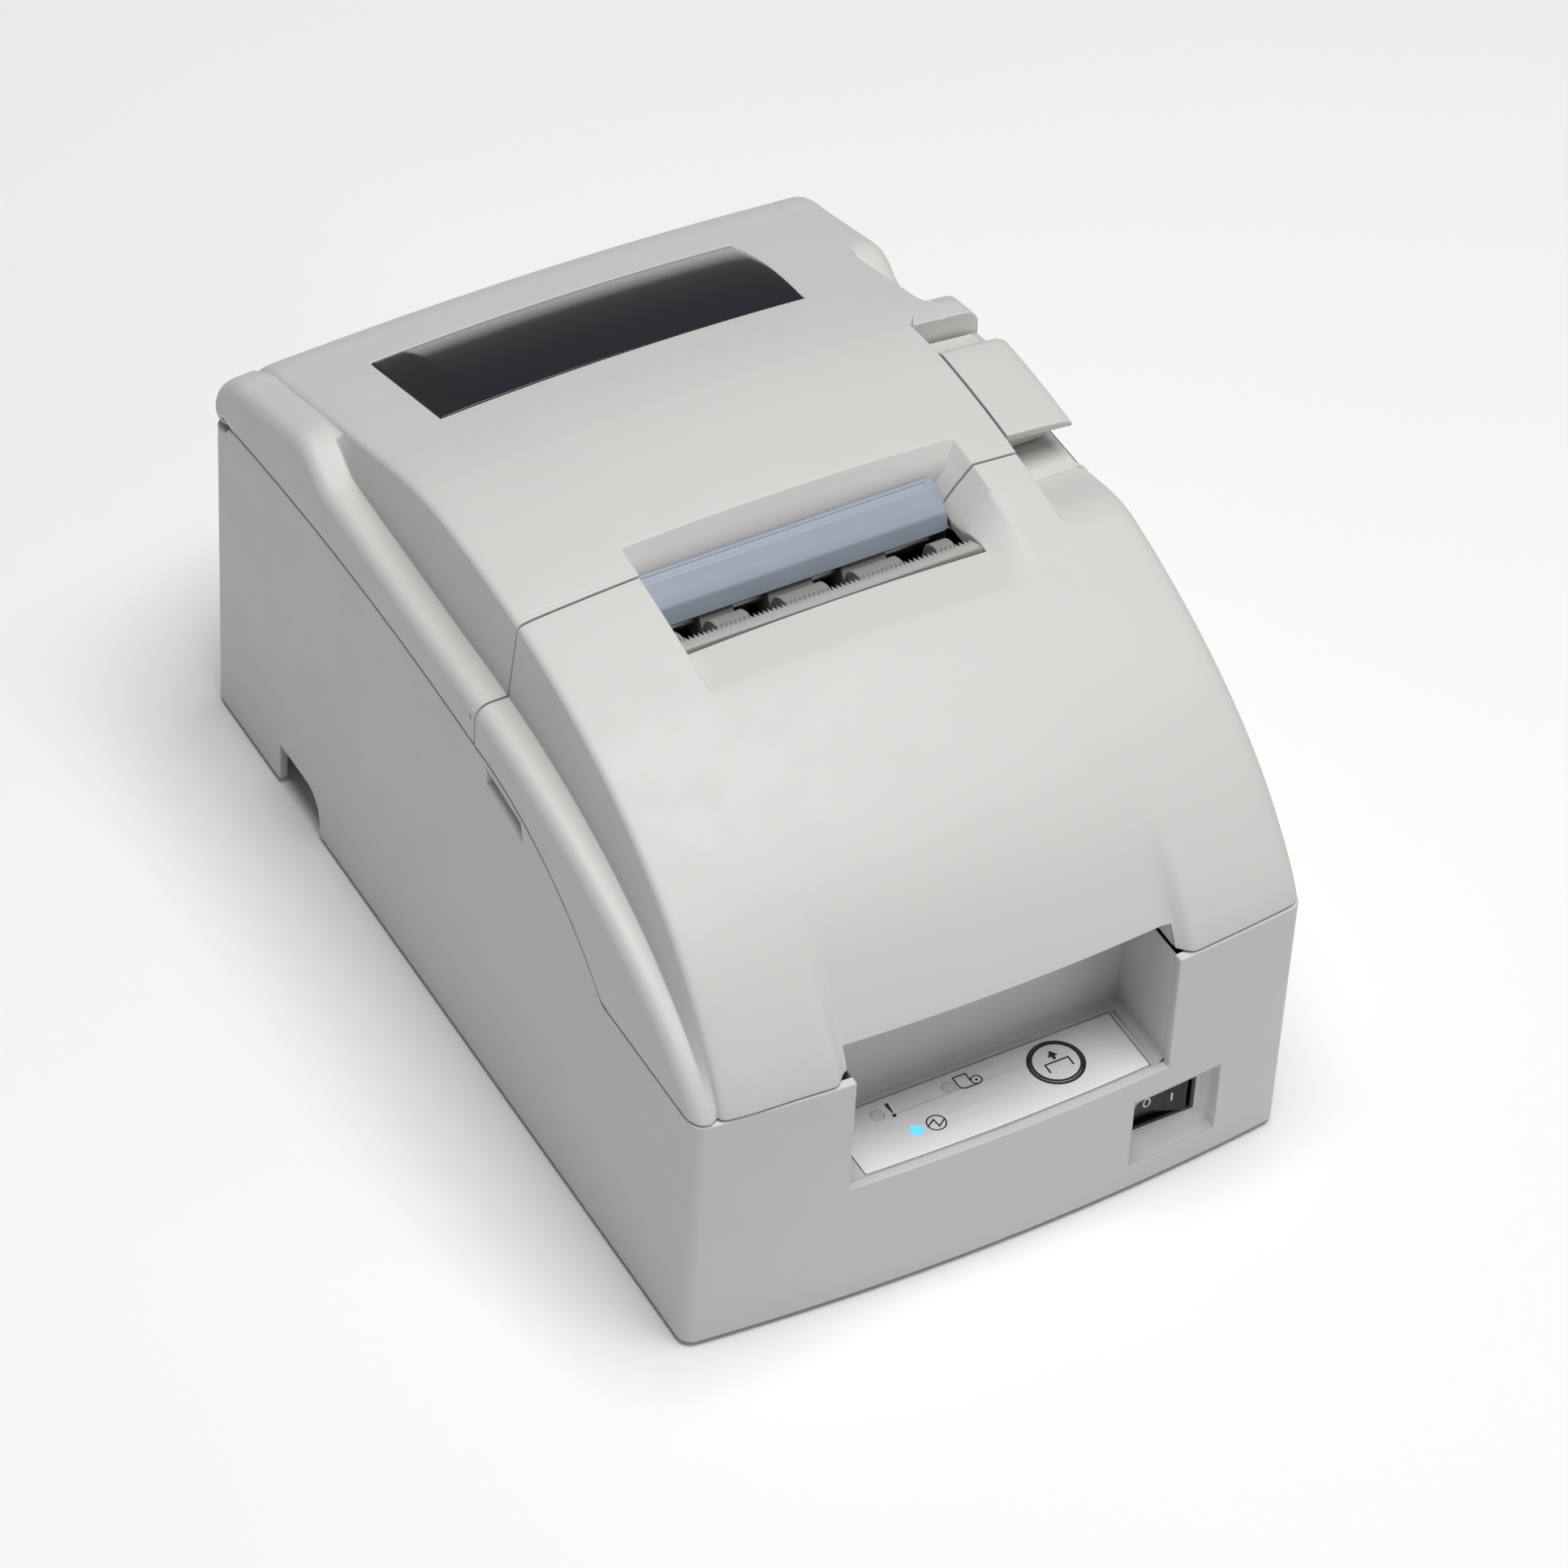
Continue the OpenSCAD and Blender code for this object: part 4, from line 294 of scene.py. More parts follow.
# by slot; Blender adds a number to the names that the solids' own materials have taken
MATERIALS = {mat.name.split(".")[0]: mat for mat in (
    moulded("body_plastic", (0.59, 0.58, 0.56), 0.5),
    moulded("inner_plastic", (0.6, 0.6, 0.58), 0.5),
    glossy("smoked_window", (0.014, 0.016, 0.019), 0.14, 0.7),
    moulded("guide_plastic", (0.295, 0.338, 0.4), 0.38, relief=0.1),
    moulded("plate_silver", (0.86, 0.86, 0.85), 0.36, grain=2600, relief=0.12),
    moulded("button_grey", (0.86, 0.86, 0.85), 0.28, grain=2600, relief=0.08),
    moulded("light_lens", (0.74, 0.74, 0.73), 0.35, relief=0.05),
    glossy("black_plastic", (0.007, 0.007, 0.008), 0.25, 0.05),
    moulded("dark_plastic", (0.03, 0.03, 0.033), 0.45),
    moulded("bay_plastic", (0.06, 0.062, 0.066), 0.5),
    moulded("gear_plastic", (0.68, 0.65, 0.55), 0.4, relief=0.1),
    circuit_board("circuit_board"),
    moulded("ribbon_cloth", (0.012, 0.012, 0.014), 0.85, grain=3000, relief=0.5),
    brushed("sheet_steel", (0.6, 0.61, 0.62), 0.35),
    brushed("motor_case", (0.3, 0.31, 0.32), 0.42, (200, 200, 4)),
    brushed("brass_gear", (0.72, 0.53, 0.25), 0.3, (200, 20, 20)),
    moulded("roller_rubber", (0.24, 0.24, 0.23), 0.7, grain=2200, relief=0.5),
    moulded("foot_rubber", (0.025, 0.025, 0.026), 0.75, grain=2200, relief=0.5),
    moulded("tear_steel", (0.42, 0.41, 0.39), 0.4, relief=0.05),
    moulded("print_ink", (0.02, 0.02, 0.022), 0.5, relief=0.05),
    moulded("mark_white", (0.75, 0.75, 0.74), 0.5, relief=0.05),
    glowing("lit_blue", (0.1, 0.4, 1), 1.5),
)}


def dress_nodes():
    """Every solid that stays in view takes the procedural material of its slot."""
    slots = {part["node"]: part["material_slot"] for part in frame["record"]["subparts"]}
    for name, obj in nodes.items():
        obj.data.materials.clear()
        obj.data.materials.append(MATERIALS[slots[name]])


# ---- building pieces

EDGE = 0.35  # radius of a moulded edge, in millimetres


class Skin:
    """Gathers faces by their corner points, in millimetres; equal points are shared."""

    def __init__(self):
        self.index = {}
        self.points = []
        self.faces = []

    def point(self, p):
        key = tuple(round(c, 3) for c in p)
        if key not in self.index:
            self.index[key] = len(self.points)
            self.points.append(p)
        return self.index[key]

    def face(self, *corners):
        ids = list(dict.fromkeys(self.point(p) for p in corners))
        if len(ids) > 2:
            self.faces.append(ids)

    def grid(self, rows, keep=lambda i, j: True):
        """A face faces the cross product of a row's direction and the direction from row to row."""
        for i in range(len(rows) - 1):
            for j in range(len(rows[i]) - 1):
                if keep(i, j):
                    self.face(rows[i][j], rows[i][j + 1], rows[i + 1][j + 1], rows[i + 1][j])

    def solid(self, rings):
        """A closed body through rings that turn right-handed about the way from the first to the last."""
        count = len(rings[0])
        for a, b in zip(rings, rings[1:]):
            for j in range(count):
                k = (j + 1) % count
                self.face(a[j], a[k], b[k], b[j])
        self.face(*reversed(rings[0]))
        self.face(*rings[-1])

    def block(self, lo, hi):
        ring = [(lo[0], lo[1]), (hi[0], lo[1]), (hi[0], hi[1]), (lo[0], hi[1])]
        self.solid([[(x, y, z) for x, y in ring] for z in (lo[2], hi[2])])

    def piece(
        self, name, body, slot="body_plastic", material=None, thick=0, edge=0, limit=50, spared=None,
        stands_for=()
    ):
        """Makes the object; it rides on a body and takes the place of the solids it stands for."""
        mesh = bpy.data.meshes.new(name)
        mesh.from_pydata([tuple(c * MM for c in p) for p in self.points], [], self.faces)
        mesh.materials.append(MATERIALS[material or slot])
        mesh.polygons.foreach_set("use_smooth", [True] * len(mesh.polygons))
        obj = new_object(name, mesh)
        if thick:
            shell = obj.modifiers.new("thickness", "SOLIDIFY")
            shell.thickness = thick * MM
            shell.offset = -1
        if spared:
            weigh_edges(obj, limit, spared)
        if edge:
            round_off = obj.modifiers.new("edges", "BEVEL")
            round_off.width = edge * MM
            round_off.segments = 2
            round_off.limit_method = "WEIGHT" if spared else "ANGLE"
            round_off.angle_limit = radians(limit)
            round_off.use_clamp_overlap = False
        normals = obj.modifiers.new("normals", "WEIGHTED_NORMAL")
        normals.keep_sharp = True
        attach(obj, body)
        if stands_for:
            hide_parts(*stands_for)
        return obj


def weigh_edges(obj, limit, spared):
    """Bakes the thickness and marks edges bent by over limit degrees for rounding, but for spared ones."""
    graph = bpy.context.evaluated_depsgraph_get()
    mesh = bpy.data.meshes.new_from_object(obj.evaluated_get(graph))
    obj.modifiers.clear()
    obj.data = mesh
    work = bmesh.new()
    work.from_mesh(mesh)
    weight = work.edges.layers.float.new("bevel_weight_edge")
    for edge in work.edges:
        bent = len(edge.link_faces) == 2 and edge.calc_face_angle() > radians(limit)
        edge[weight] = bent and not any(spared(*(v.co / MM)) for v in edge.verts)
    work.to_mesh(mesh)
    work.free()


def mix(a, b, t):
    return a + (b - a) * t


def mix_points(p, q, t):
    return tuple(mix(a, b, t) for a, b in zip(p, q))


def ramp(a, b, v):
    return min(1, max(0, (v - a) / (b - a)))


def smooth(a, b, v):
    t = ramp(a, b, v)
    return t * t * (3 - 2 * t)


def spread(a, b, count):
    """count values from a to b, without b."""
    return [mix(a, b, i / count) for i in range(count)]


def stops(a, b, count):
    """The ends of count even steps from a to b, with a and b."""
    return spread(a, b, count) + [b]


def circle(x, y, r, count=48):
    return [(x + r * cos(2 * pi * i / count), y + r * sin(2 * pi * i / count)) for i in range(count)]


def span(values, a, b):
    """The places in a list from the value a up to the value b."""
    return range(values.index(a), values.index(b))


QUARTER = [radians(a) for a in range(0, 91, 15)]  # the angles of a quarter turn


# ---- the printer's surfaces, in millimetres

(_, FRONT_Y, RIM_Z), (HALF_W, REAR_Y, _) = in_mm(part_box("lower_case"))
HEIGHT = solid_box[1][2] / MM
WALL = 2.5
CORNER_R = 4
CROWN_R = 690  # both covers are crowned across the width
SEAM_FRONT_Z = 73.3  # the seam between case and covers, at the front and at its highest
SEAM_TOP_Z = 101.3
SEAM_GAP = 0.6
SPLIT_Y = -12  # the front cover meets the rear cover here
SPLIT_GAP = 0.5
CREST_Y = 20
ELLIPSE_Z = 60  # centre height of the front's ellipses
RAIL_W = 8.5  # the lower strip along a side edge
RAIL_Z = 112.8
RAIL_RISE = 0.0386
RAIL_CENTRE_Y = 10
REAR_EDGE_R = 20
EDGE_W = 3.9  # width and height of the rounded side edges
EDGE_H = 4
SLOPE = atan(0.33)  # fall of the rear cover behind its crest
CREST_R = 107
BARREL_R = 4  # hinge barrel of the rear cover
PIVOT_Y = REAR_Y - BARREL_R
PIVOT_Z = 96.5
SIDE_IN = HALF_W - WALL

SEAM_CREST_Y = 30
SEAM_LONG_R = 605
SEAM_ARC_R = 90
VISOR_Z = 79.3  # lower edge of the visor over the control panel
VISOR_TOP_Z = 108
VISOR_DEPTH = 3.5
SWELL_TOP_Z = 96  # below it the front swells out to the seam
SWELL_DEPTH = 1.5
FLARE = 4.5  # the step beside the left rail leans out by this at the front
FLARE_X = 7.5
PANEL_X0 = -40.5
PANEL_X1 = 45.2
SLOT_X0 = -38  # the paper exit
SLOT_X1 = 41.5
SLOT_BACK_X1 = 49.5
SLOT_FRONT_Y = -33
SLOT_REAR_Y = -4.5
SLOT_LIP_Z = HEIGHT - 16.5
APRON_Y = -48  # front of the sunken apron before the exit
APRON_DEPTH = 4
APRON_REAR_DEPTH = 6
LEVER_X0 = HALF_W - 18.4  # the lever's pocket
LEVER_FLOOR = HEIGHT - 16.5
LEVER_BACK = 36.5
STEP_X = -HALF_W + RAIL_W

# half axes of the front's ellipses, and the places where the rear cover's profile bends
ellipse_a = CREST_Y - FRONT_Y + 0.6
ellipse_b = HEIGHT - ELLIPSE_Z
rail_a = RAIL_CENTRE_Y - FRONT_Y + 0.5
rail_b = RAIL_Z - ELLIPSE_Z
slope_y = CREST_Y + CREST_R * sin(SLOPE)
slope_z = HEIGHT - CREST_R * (1 - cos(SLOPE))
edge_y = REAR_Y - REAR_EDGE_R
slope_end_y = edge_y + REAR_EDGE_R * sin(SLOPE)
slope_end_z = PIVOT_Z + REAR_EDGE_R * cos(SLOPE)


def seam_long(y):
    return SEAM_TOP_Z - (y - SEAM_CREST_Y) ** 2 / (2 * SEAM_LONG_R)


seam_arc_z = seam_long(SPLIT_Y) - SEAM_ARC_R
seam_kink_y = SPLIT_Y - sqrt(SEAM_ARC_R ** 2 - (SEAM_FRONT_Z - seam_arc_z) ** 2)


def seam_z(y):
    if y > SPLIT_Y:
        return seam_long(y)
    if y > seam_kink_y:
        return seam_arc_z + sqrt(SEAM_ARC_R ** 2 - (y - SPLIT_Y) ** 2)
    return SEAM_FRONT_Z


def on_ellipse(centre_y, a, b, t):
    """y, z and the normal's y and z of a profile's front ellipse."""
    ny, nz = -cos(t) / a, sin(t) / b
    size = hypot(ny, nz)
    return centre_y - a * cos(t), ELLIPSE_Z + b * sin(t), ny / size, nz / size


def main_front(t):
    return on_ellipse(CREST_Y, ellipse_a, ellipse_b, t)


def rail_front(t):
    return on_ellipse(RAIL_CENTRE_Y, rail_a, rail_b, t)


def main_rear(y):
    if y < CREST_Y:
        return main_front(acos((CREST_Y - y) / ellipse_a))
    if y < slope_y:
        a = asin((y - CREST_Y) / CREST_R)
        return y, HEIGHT - CREST_R * (1 - cos(a)), sin(a), cos(a)
    t = (y - slope_y) / (slope_end_y - slope_y)
    return y, mix(slope_z, slope_end_z, t), sin(SLOPE), cos(SLOPE)


def rail_height(y):
    if y < RAIL_CENTRE_Y:
        return rail_front(acos((RAIL_CENTRE_Y - y) / rail_a))[1]
    return RAIL_Z + RAIL_RISE * (y - RAIL_CENTRE_Y)


def crown(x):
    return x * x / (2 * CROWN_R)


def sink(p, x, depth):
    """The point of the profile at x, lowered by the crown and by depth along its own normal."""
    y, z, ny, nz = p
    cy, cz = (ny, nz) if y < CREST_Y else (0, 1)
    return y - cy * crown(x) - ny * depth, z - cz * crown(x) - nz * depth


def surface_z(x, y):
    return sink(main_rear(y), x, 0)[1]


def visor_sink(z, visor):
    swell = SWELL_DEPTH * smooth(SWELL_TOP_Z, SEAM_FRONT_Z, z)
    return visor * VISOR_DEPTH * smooth(VISOR_TOP_Z, VISOR_Z, z) - swell


def edge_rounding(side):
    """Stations of the rounded side edge, from the wall inwards: x and drop."""
    angles = [radians(a) for a in (0, 18, 36, 53, 69, 90)]
    return [(side * (HALF_W - EDGE_W * (1 - cos(a))), EDGE_H * (1 - sin(a))) for a in angles]


# ---- front cover

# foot of the step beside the left rail: way from the step and drop
STEP_FOOT = [(1.9, 1.4), (2.2, 0.85), (2.7, 0.45), (3.4, 0.2)]

# slanted right wall of the exit: x, visor and share of its depth
EXIT_SIDE = [
    (SLOT_X1 + 1.6, 1, 0.78), (PANEL_X1, 0.9, 0.5), (PANEL_X1 + 1.1, 0.6, 0.38),
    (PANEL_X1 + 2.1, 0.3, 0.26), (PANEL_X1 + 3.2, 0.08, 0.13), (SLOT_BACK_X1, 0, 0)
]


def front_stations():
    """x, rail, drop, visor, scoop and apron of each column of the front cover; None is a mixed one."""
    left = [(x, 1, d, 0, 0, 0) for x, d in edge_rounding(-1)]
    left += [(STEP_X, 1, 0, 0, 0, 0), None, None, None]
    level = [(4.8, 0.05), (7.5, 0), (11, 0), (17.5, 0), (23, 0)]
    left += [(STEP_X + dx, 0, d, 0, 0, 0) for dx, d in STEP_FOOT + level]
    left += [(PANEL_X0 - d, 0, 0, 1 - smooth(0, 5, d), 0, 0) for d in (5, 3.8, 2.6, 1.4, 0.6)]
    left += [(PANEL_X0, 0, 0, 1, 0, 0), (SLOT_X0 - 0.4, 0, 0, 1, 0, 0), (SLOT_X0 + 0.2, 0, 0, 1, 0, 1)]
    middle = [(x, 0, 0, 1, 0, 1) for x in (-34, -29, -24, -18, -12, -6, 0, 6, 12, 18, 24, 30, 36, SLOT_X1)]
    cheek = [(x, 0, 0, v, 0, a) for x, v, a in EXIT_SIDE]
    cheek += [(x, 0, 0, 0, 0, 0) for x in (52, 56, LEVER_X0 - 0.4)]
    right = [(x, 0, 0, 0, 1, 0) for x in (LEVER_X0 + 0.3, 65.7, 70, 73.5)]
    right += [(x, 0, d, 0, 1, 0) for x, d in reversed(edge_rounding(1))]
    return left + middle + cheek + right


def scoop_depth(y, z):
    return (z - LEVER_FLOOR - 0.6) * smooth(SPLIT_Y - 26, SPLIT_Y + 1, y)


def apron_sink(y):
    before = APRON_DEPTH * ramp(APRON_Y, SLOT_FRONT_Y, y)
    return before + APRON_REAR_DEPTH * smooth(SLOT_FRONT_Y, SPLIT_Y - 4, y)


def front_point(station, t):
    x, rail, drop, visor, scoop, apron = station
    if rail:
        y, z, ny, nz = rail_front(t)
        y, z = y - ny * drop, z - nz * drop
    else:
        p = main_front(t)
        y, z = sink(p, x, drop + visor_sink(p[1], visor))
    if scoop:
        z -= scoop_depth(y, z)
    z -= apron * apron_sink(y)
    if abs(x - STEP_X - 4) < FLARE_X:
        x -= FLARE * ramp(SPLIT_Y, FRONT_Y, y) ** 2
    return x, y, z


def at_split_corner(x, y, z):
    """Whether a point lies where the split meets the right side wall, in the lever's pocket."""
    return x > HALF_W - 1.5 and abs(y - SPLIT_Y) < 1


def solve(measure, level, top):
    """The parameter, from 0 to top, at which a rising measure reaches level."""
    lo, hi = 0, top
    for _ in range(40):
        middle = (lo + hi) / 2
        if measure(middle) < level:
            lo = middle
        else:
            hi = middle
    return hi


FRONT_ROWS = (3, 22, 7, 8)  # rows between the seam, the visor's edge, the apron, the exit and the split


def front_column(station):
    """The column's points, from the seam up and back to the split."""
    heights = (SEAM_FRONT_Z + SEAM_GAP, VISOR_Z)
    depths = (APRON_Y, SLOT_FRONT_Y, SPLIT_Y - SPLIT_GAP)
    knots = [solve(lambda t: front_point(station, t)[2], z, 1.2) for z in heights]
    knots += [solve(lambda t: front_point(station, t)[1], y, 1.56) for y in depths]
    steps = []
    for a, b, count in zip(knots, knots[1:], FRONT_ROWS):
        steps += spread(a, b, count)
    return [front_point(station, t) for t in steps + [knots[-1]]]


def fill_mixed(columns):
    """Columns that are None become even mixes of their neighbours, a straight wall between the two."""
    known = [i for i, column in enumerate(columns) if column]
    for a, b in zip(known, known[1:]):
        for k in range(a + 1, b):
            t = (k - a) / (b - a)
            columns[k] = [mix_points(p, q, t) for p, q in zip(columns[a], columns[b])]
    return columns


def side_wall(skin, tops, feet, side, count=8):
    """A flat wall from each foot up to the matching top, facing out on its side."""
    rows = [[mix_points(foot, top, t) for t in stops(0, 1, count)] for foot, top in zip(feet, tops)]
    skin.grid(rows if side < 0 else rows[::-1])


def skirt(skin, edge, low, count, flip=False):
    """A wall that hangs from an edge down to the height low."""
    rows = [[(x, y, v) for v in stops(low, z, count)] for x, y, z in edge]
    skin.grid(rows[::-1] if flip else rows)


def make_front_cover():
    skin = Skin()
    stations = front_stations()
    columns = fill_mixed([s and front_column(s) for s in stations])
    rows = [list(row) for row in zip(*columns)]
    xs = [s[0] if s else None for s in stations]
    visor_row, slot_row = FRONT_ROWS[0], sum(FRONT_ROWS[:3])
    panel = span(xs, PANEL_X0, PANEL_X1)
    slot = span(xs, SLOT_X0 + 0.2, SLOT_X1)

    def keep(i, j):
        return not (i < visor_row and j in panel) and not (i >= slot_row and j in slot)

    skin.grid(rows, keep)
    for side, column in ((-1, columns[0]), (1, columns[-1])):
        feet = [(x, y, seam_z(y) + SEAM_GAP) for x, y, z in column]
        side_wall(skin, column, feet, side)
    skirt(skin, rows[slot_row][slot.start:slot.stop + 1], SLOT_LIP_Z, 3)
    skirt(skin, [row[slot.stop] for row in rows[slot_row:]], SLOT_LIP_Z, 3)
    skirt(skin, [row[slot.start] for row in rows[slot_row:]], SLOT_LIP_Z, 3, True)
    skin.piece(
        "front_shell", "front_lid", thick=WALL, edge=EDGE, spared=at_split_corner, stands_for=["front_cover"]
    )
    make_cheeks(columns[panel.start], columns[panel.stop])


CHEEK_BACK_Y = FRONT_Y + 23  # a cheek reaches this far in, where it still rolls past the case
CHEEK_TOP_Z = 92
CHEEK_T = 1.4


def make_cheeks(left, right):
    """Walls inside the front cover, beside the gap between its visor and the case."""
    skin = Skin()
    for side, column in ((-1, left), (1, right)):
        x = column[0][0] + side * 0.1
        edge = [(y + 0.9, z) for _, y, z in column if z < CHEEK_TOP_Z and y < CHEEK_BACK_Y]
        edge[0] = (edge[0][0], column[0][2] + 0.15)
        outline = edge + [(CHEEK_BACK_Y, edge[-1][1]), (CHEEK_BACK_Y, edge[0][1])]
        near = [(x, y, z) for y, z in outline]
        far = [(x + side * CHEEK_T, y, z) for y, z in outline]
        skin.solid([near[::-1], far[::-1]] if side > 0 else [near, far])
    skin.piece("front_cheeks", "front_lid")


# ---- rear cover

WINDOW_X0 = -50
WINDOW_X1 = 47
WINDOW_Y0 = REAR_Y - 61
WINDOW_Y1 = WINDOW_Y0 + 36
WINDOW_GAP = 0.25
GROOVE_Y = -10.8
GROOVE_DEPTH = 0.18
HOOK_X0 = LEVER_X0 + 3.4  # the hole for the latch hook
HOOK_X1 = LEVER_X0 + 9.4
HOOK_Y0 = 18
HOOK_Y1 = 28
EAR_X0 = 65.7  # inner end of the gap for a hinge ear
EXIT_REAR = SLOT_REAR_Y + 1.5


def rear_stations():
    """x, left rail, right rail and drop of each column of the rear cover."""
    left = [(x, 1, 0, d) for x, d in edge_rounding(-1)]
    left += [(-73.8, 1, 0, 0), (STEP_X, 1, 0, 0), None, None]
    left += [(STEP_X + dx, 0, 0, d) for dx, d in STEP_FOOT]
    middle = [-EAR_X0, -62, -56, WINDOW_X0 - WINDOW_GAP, -44, SLOT_X0, *range(-32, 41, 8),
              WINDOW_X1 + WINDOW_GAP, SLOT_BACK_X1, 55, LEVER_X0 - 0.2, LEVER_X0 + 0.2, HOOK_X0, EAR_X0]
    right = [(68.5, 0, 0, 0), (70, 0, 0, 0.2), (HOOK_X1, 0, 0.6, 0.1), (71.5, 0, 1, 0), (73.8, 0, 1, 0)]
    right += [(x, 0, 1, d) for x, d in reversed(edge_rounding(1))]
    return left + [(x, 0, 0, 0) for x in middle] + right


def rail_blend(y, left, right):
    d = y - WINDOW_Y0
    return left * (1 - smooth(1, 19, d)) + right * smooth(-17, -5, d) * (1 - smooth(9, 21, d))


def rear_point(station, y):
    """The point of the column that lies at y on the cover's top."""
    x, left, right, drop = station

    def at(v):
        py, pz = sink(main_rear(v), x, drop)
        k = rail_blend(v, left, right)
        return mix(py, v, k), min(pz, mix(pz, rail_height(v) - drop, k))

    shift = at(y)[0] - y
    return x, y, at(y - shift)[1]


def edge_point(station, a):
    x, _, _, drop = station
    y = edge_y + (REAR_EDGE_R - 0.6 * drop) * sin(a)
    return x, y, PIVOT_Z + (REAR_EDGE_R - drop - crown(x)) * cos(a)


def barrel_point(station, b):
    x, _, _, drop = station
    r = BARREL_R - 0.6 * drop
    return x, PIVOT_Y + r * cos(b), PIVOT_Z - r * sin(b)


# y of each row of the cover's top
REAR_TOP = [
    SPLIT_Y, GROOVE_Y - 0.4, GROOVE_Y, GROOVE_Y + 0.4, -7.5, EXIT_REAR, 1, 6, 12, HOOK_Y0, 23, HOOK_Y1, 32,
    LEVER_BACK + 0.1, LEVER_BACK + 0.5, 41, 46, 49, 52, 55, 58, 60.5, WINDOW_Y0 - WINDOW_GAP,
    *range(66, 82, 3), 84, 88, 92, 96, WINDOW_Y1 + WINDOW_GAP, 103, 106.5, slope_end_y - 1
]

EXIT_SIDE_DEPTH = 10

# rear wall of the exit: it slants from its lip to a foot and hangs down from there
EXIT_FOOT_Y = SLOT_REAR_Y - 2.6
EXIT_FOOT_Z = HEIGHT - 7.8
EXIT_LOW_Z = HEIGHT - 12
EXIT_LEFT_Z = HEIGHT - 10.5


def make_rear_cover():
    skin = Skin()
    stations = rear_stations()
    gap_angle = acos(sqrt((BARREL_R + 0.5) ** 2 - BARREL_R ** 2) / REAR_EDGE_R)
    bends = spread(SLOPE, gap_angle, 10) + [gap_angle, pi / 2]
    turns = [radians(b) for b in range(15, 151, 15)]

    def column(s):
        top = [rear_point(s, y) for y in REAR_TOP]
        return top + [edge_point(s, a) for a in bends] + [barrel_point(s, b) for b in turns]

    columns = fill_mixed([s and column(s) for s in stations])
    rows = [list(row) for row in zip(*columns)]
    xs = [s[0] if s else None for s in stations]
    pocket = xs.index(LEVER_X0 + 0.2)
    pocket_rows = REAR_TOP.index(LEVER_BACK + 0.5)
    for row in rows[:pocket_rows]:
        for j in range(pocket, len(row)):
            row[j] = (row[j][0], row[j][1], LEVER_FLOOR)
    groove = REAR_TOP.index(GROOVE_Y)
    rows[groove] = [(x, y, z - (GROOVE_DEPTH if x < LEVER_X0 else 0)) for x, y, z in rows[groove]]
    slot = span(xs, SLOT_X0, SLOT_BACK_X1)
    slot_rows = REAR_TOP.index(EXIT_REAR)
    pane = span(xs, WINDOW_X0 - WINDOW_GAP, WINDOW_X1 + WINDOW_GAP)
    pane_rows = span(REAR_TOP, WINDOW_Y0 - WINDOW_GAP, WINDOW_Y1 + WINDOW_GAP)
    hook = span(xs, HOOK_X0, HOOK_X1)
    hook_rows = span(REAR_TOP, HOOK_Y0, HOOK_Y1)
    end = len(REAR_TOP) + len(bends) - 1
    knuckle_x = edge_rounding(1)[4][0]
    ears = [span(xs, -knuckle_x, -EAR_X0), span(xs, EAR_X0, knuckle_x)]

    def keep(i, j):
        return not (
            (j in slot and i < slot_rows)
            or (j in pane and i in pane_rows)
            or (j in hook and i in hook_rows)
            or (i >= end - 1 and any(j in ear for ear in ears))
        )

    skin.grid(rows, keep)
    for side, edge in ((-1, columns[0]), (1, [row[-1] for row in rows])):
        tops = edge[:end + 1]
        side_wall(skin, tops, [rear_foot(p) for p in tops], side, 6)
    lip = rows[slot_rows][slot.start:slot.stop + 1]
    low, foot = ([(x, EXIT_FOOT_Y, v) for x, y, z in lip] for v in (EXIT_LOW_Z, EXIT_FOOT_Z))
    skin.grid([low, foot, [mix_points(p, q, 0.5) for p, q in zip(foot, lip)], lip])
    skirt(skin, [row[slot.start] for row in rows[:slot_rows + 1]], EXIT_LEFT_Z, 3, True)
    side = [(SLOT_X1 + 0.4, 1)] + [(x, part) for x, _, part in EXIT_SIDE]
    skin.grid([
        [(x, y, surface_z(x, y) - EXIT_SIDE_DEPTH * part) for x, part in side]
        for y in REAR_TOP[:slot_rows + 1]
    ])
    skin.piece(
        "rear_shell", "rear_lid", thick=WALL, edge=EDGE, limit=40,
        spared=lambda x, y, z: at_split_corner(x, y, z) or (y > PIVOT_Y - 7 and z < PIVOT_Z + 6),
        stands_for=["rear_cover"]
    )


BEND_Y = 112  # from here back the cover's lower edge runs to its hinge barrel
BEND_SHARE = 0.6  # of the way, up to where it turns round the barrel


def rear_foot(p):
    """Foot of the rear cover's side wall under the point p of its edge."""
    x, y, z = p
    end_r = BARREL_R - 0.6 * EDGE_H
    if y <= BEND_Y:
        return x, y, seam_z(y) + SEAM_GAP
    t = (y - BEND_Y) / (PIVOT_Y + end_r - BEND_Y)
    if t < BEND_SHARE:
        low = seam_z(BEND_Y) + SEAM_GAP
        return x, mix(BEND_Y, PIVOT_Y - end_r, t / BEND_SHARE), mix(low, PIVOT_Z, t / BEND_SHARE)
    a = pi + pi * (t - BEND_SHARE) / (1 - BEND_SHARE)
    return x, PIVOT_Y + end_r * cos(a), PIVOT_Z + end_r * sin(a)


# ---- case

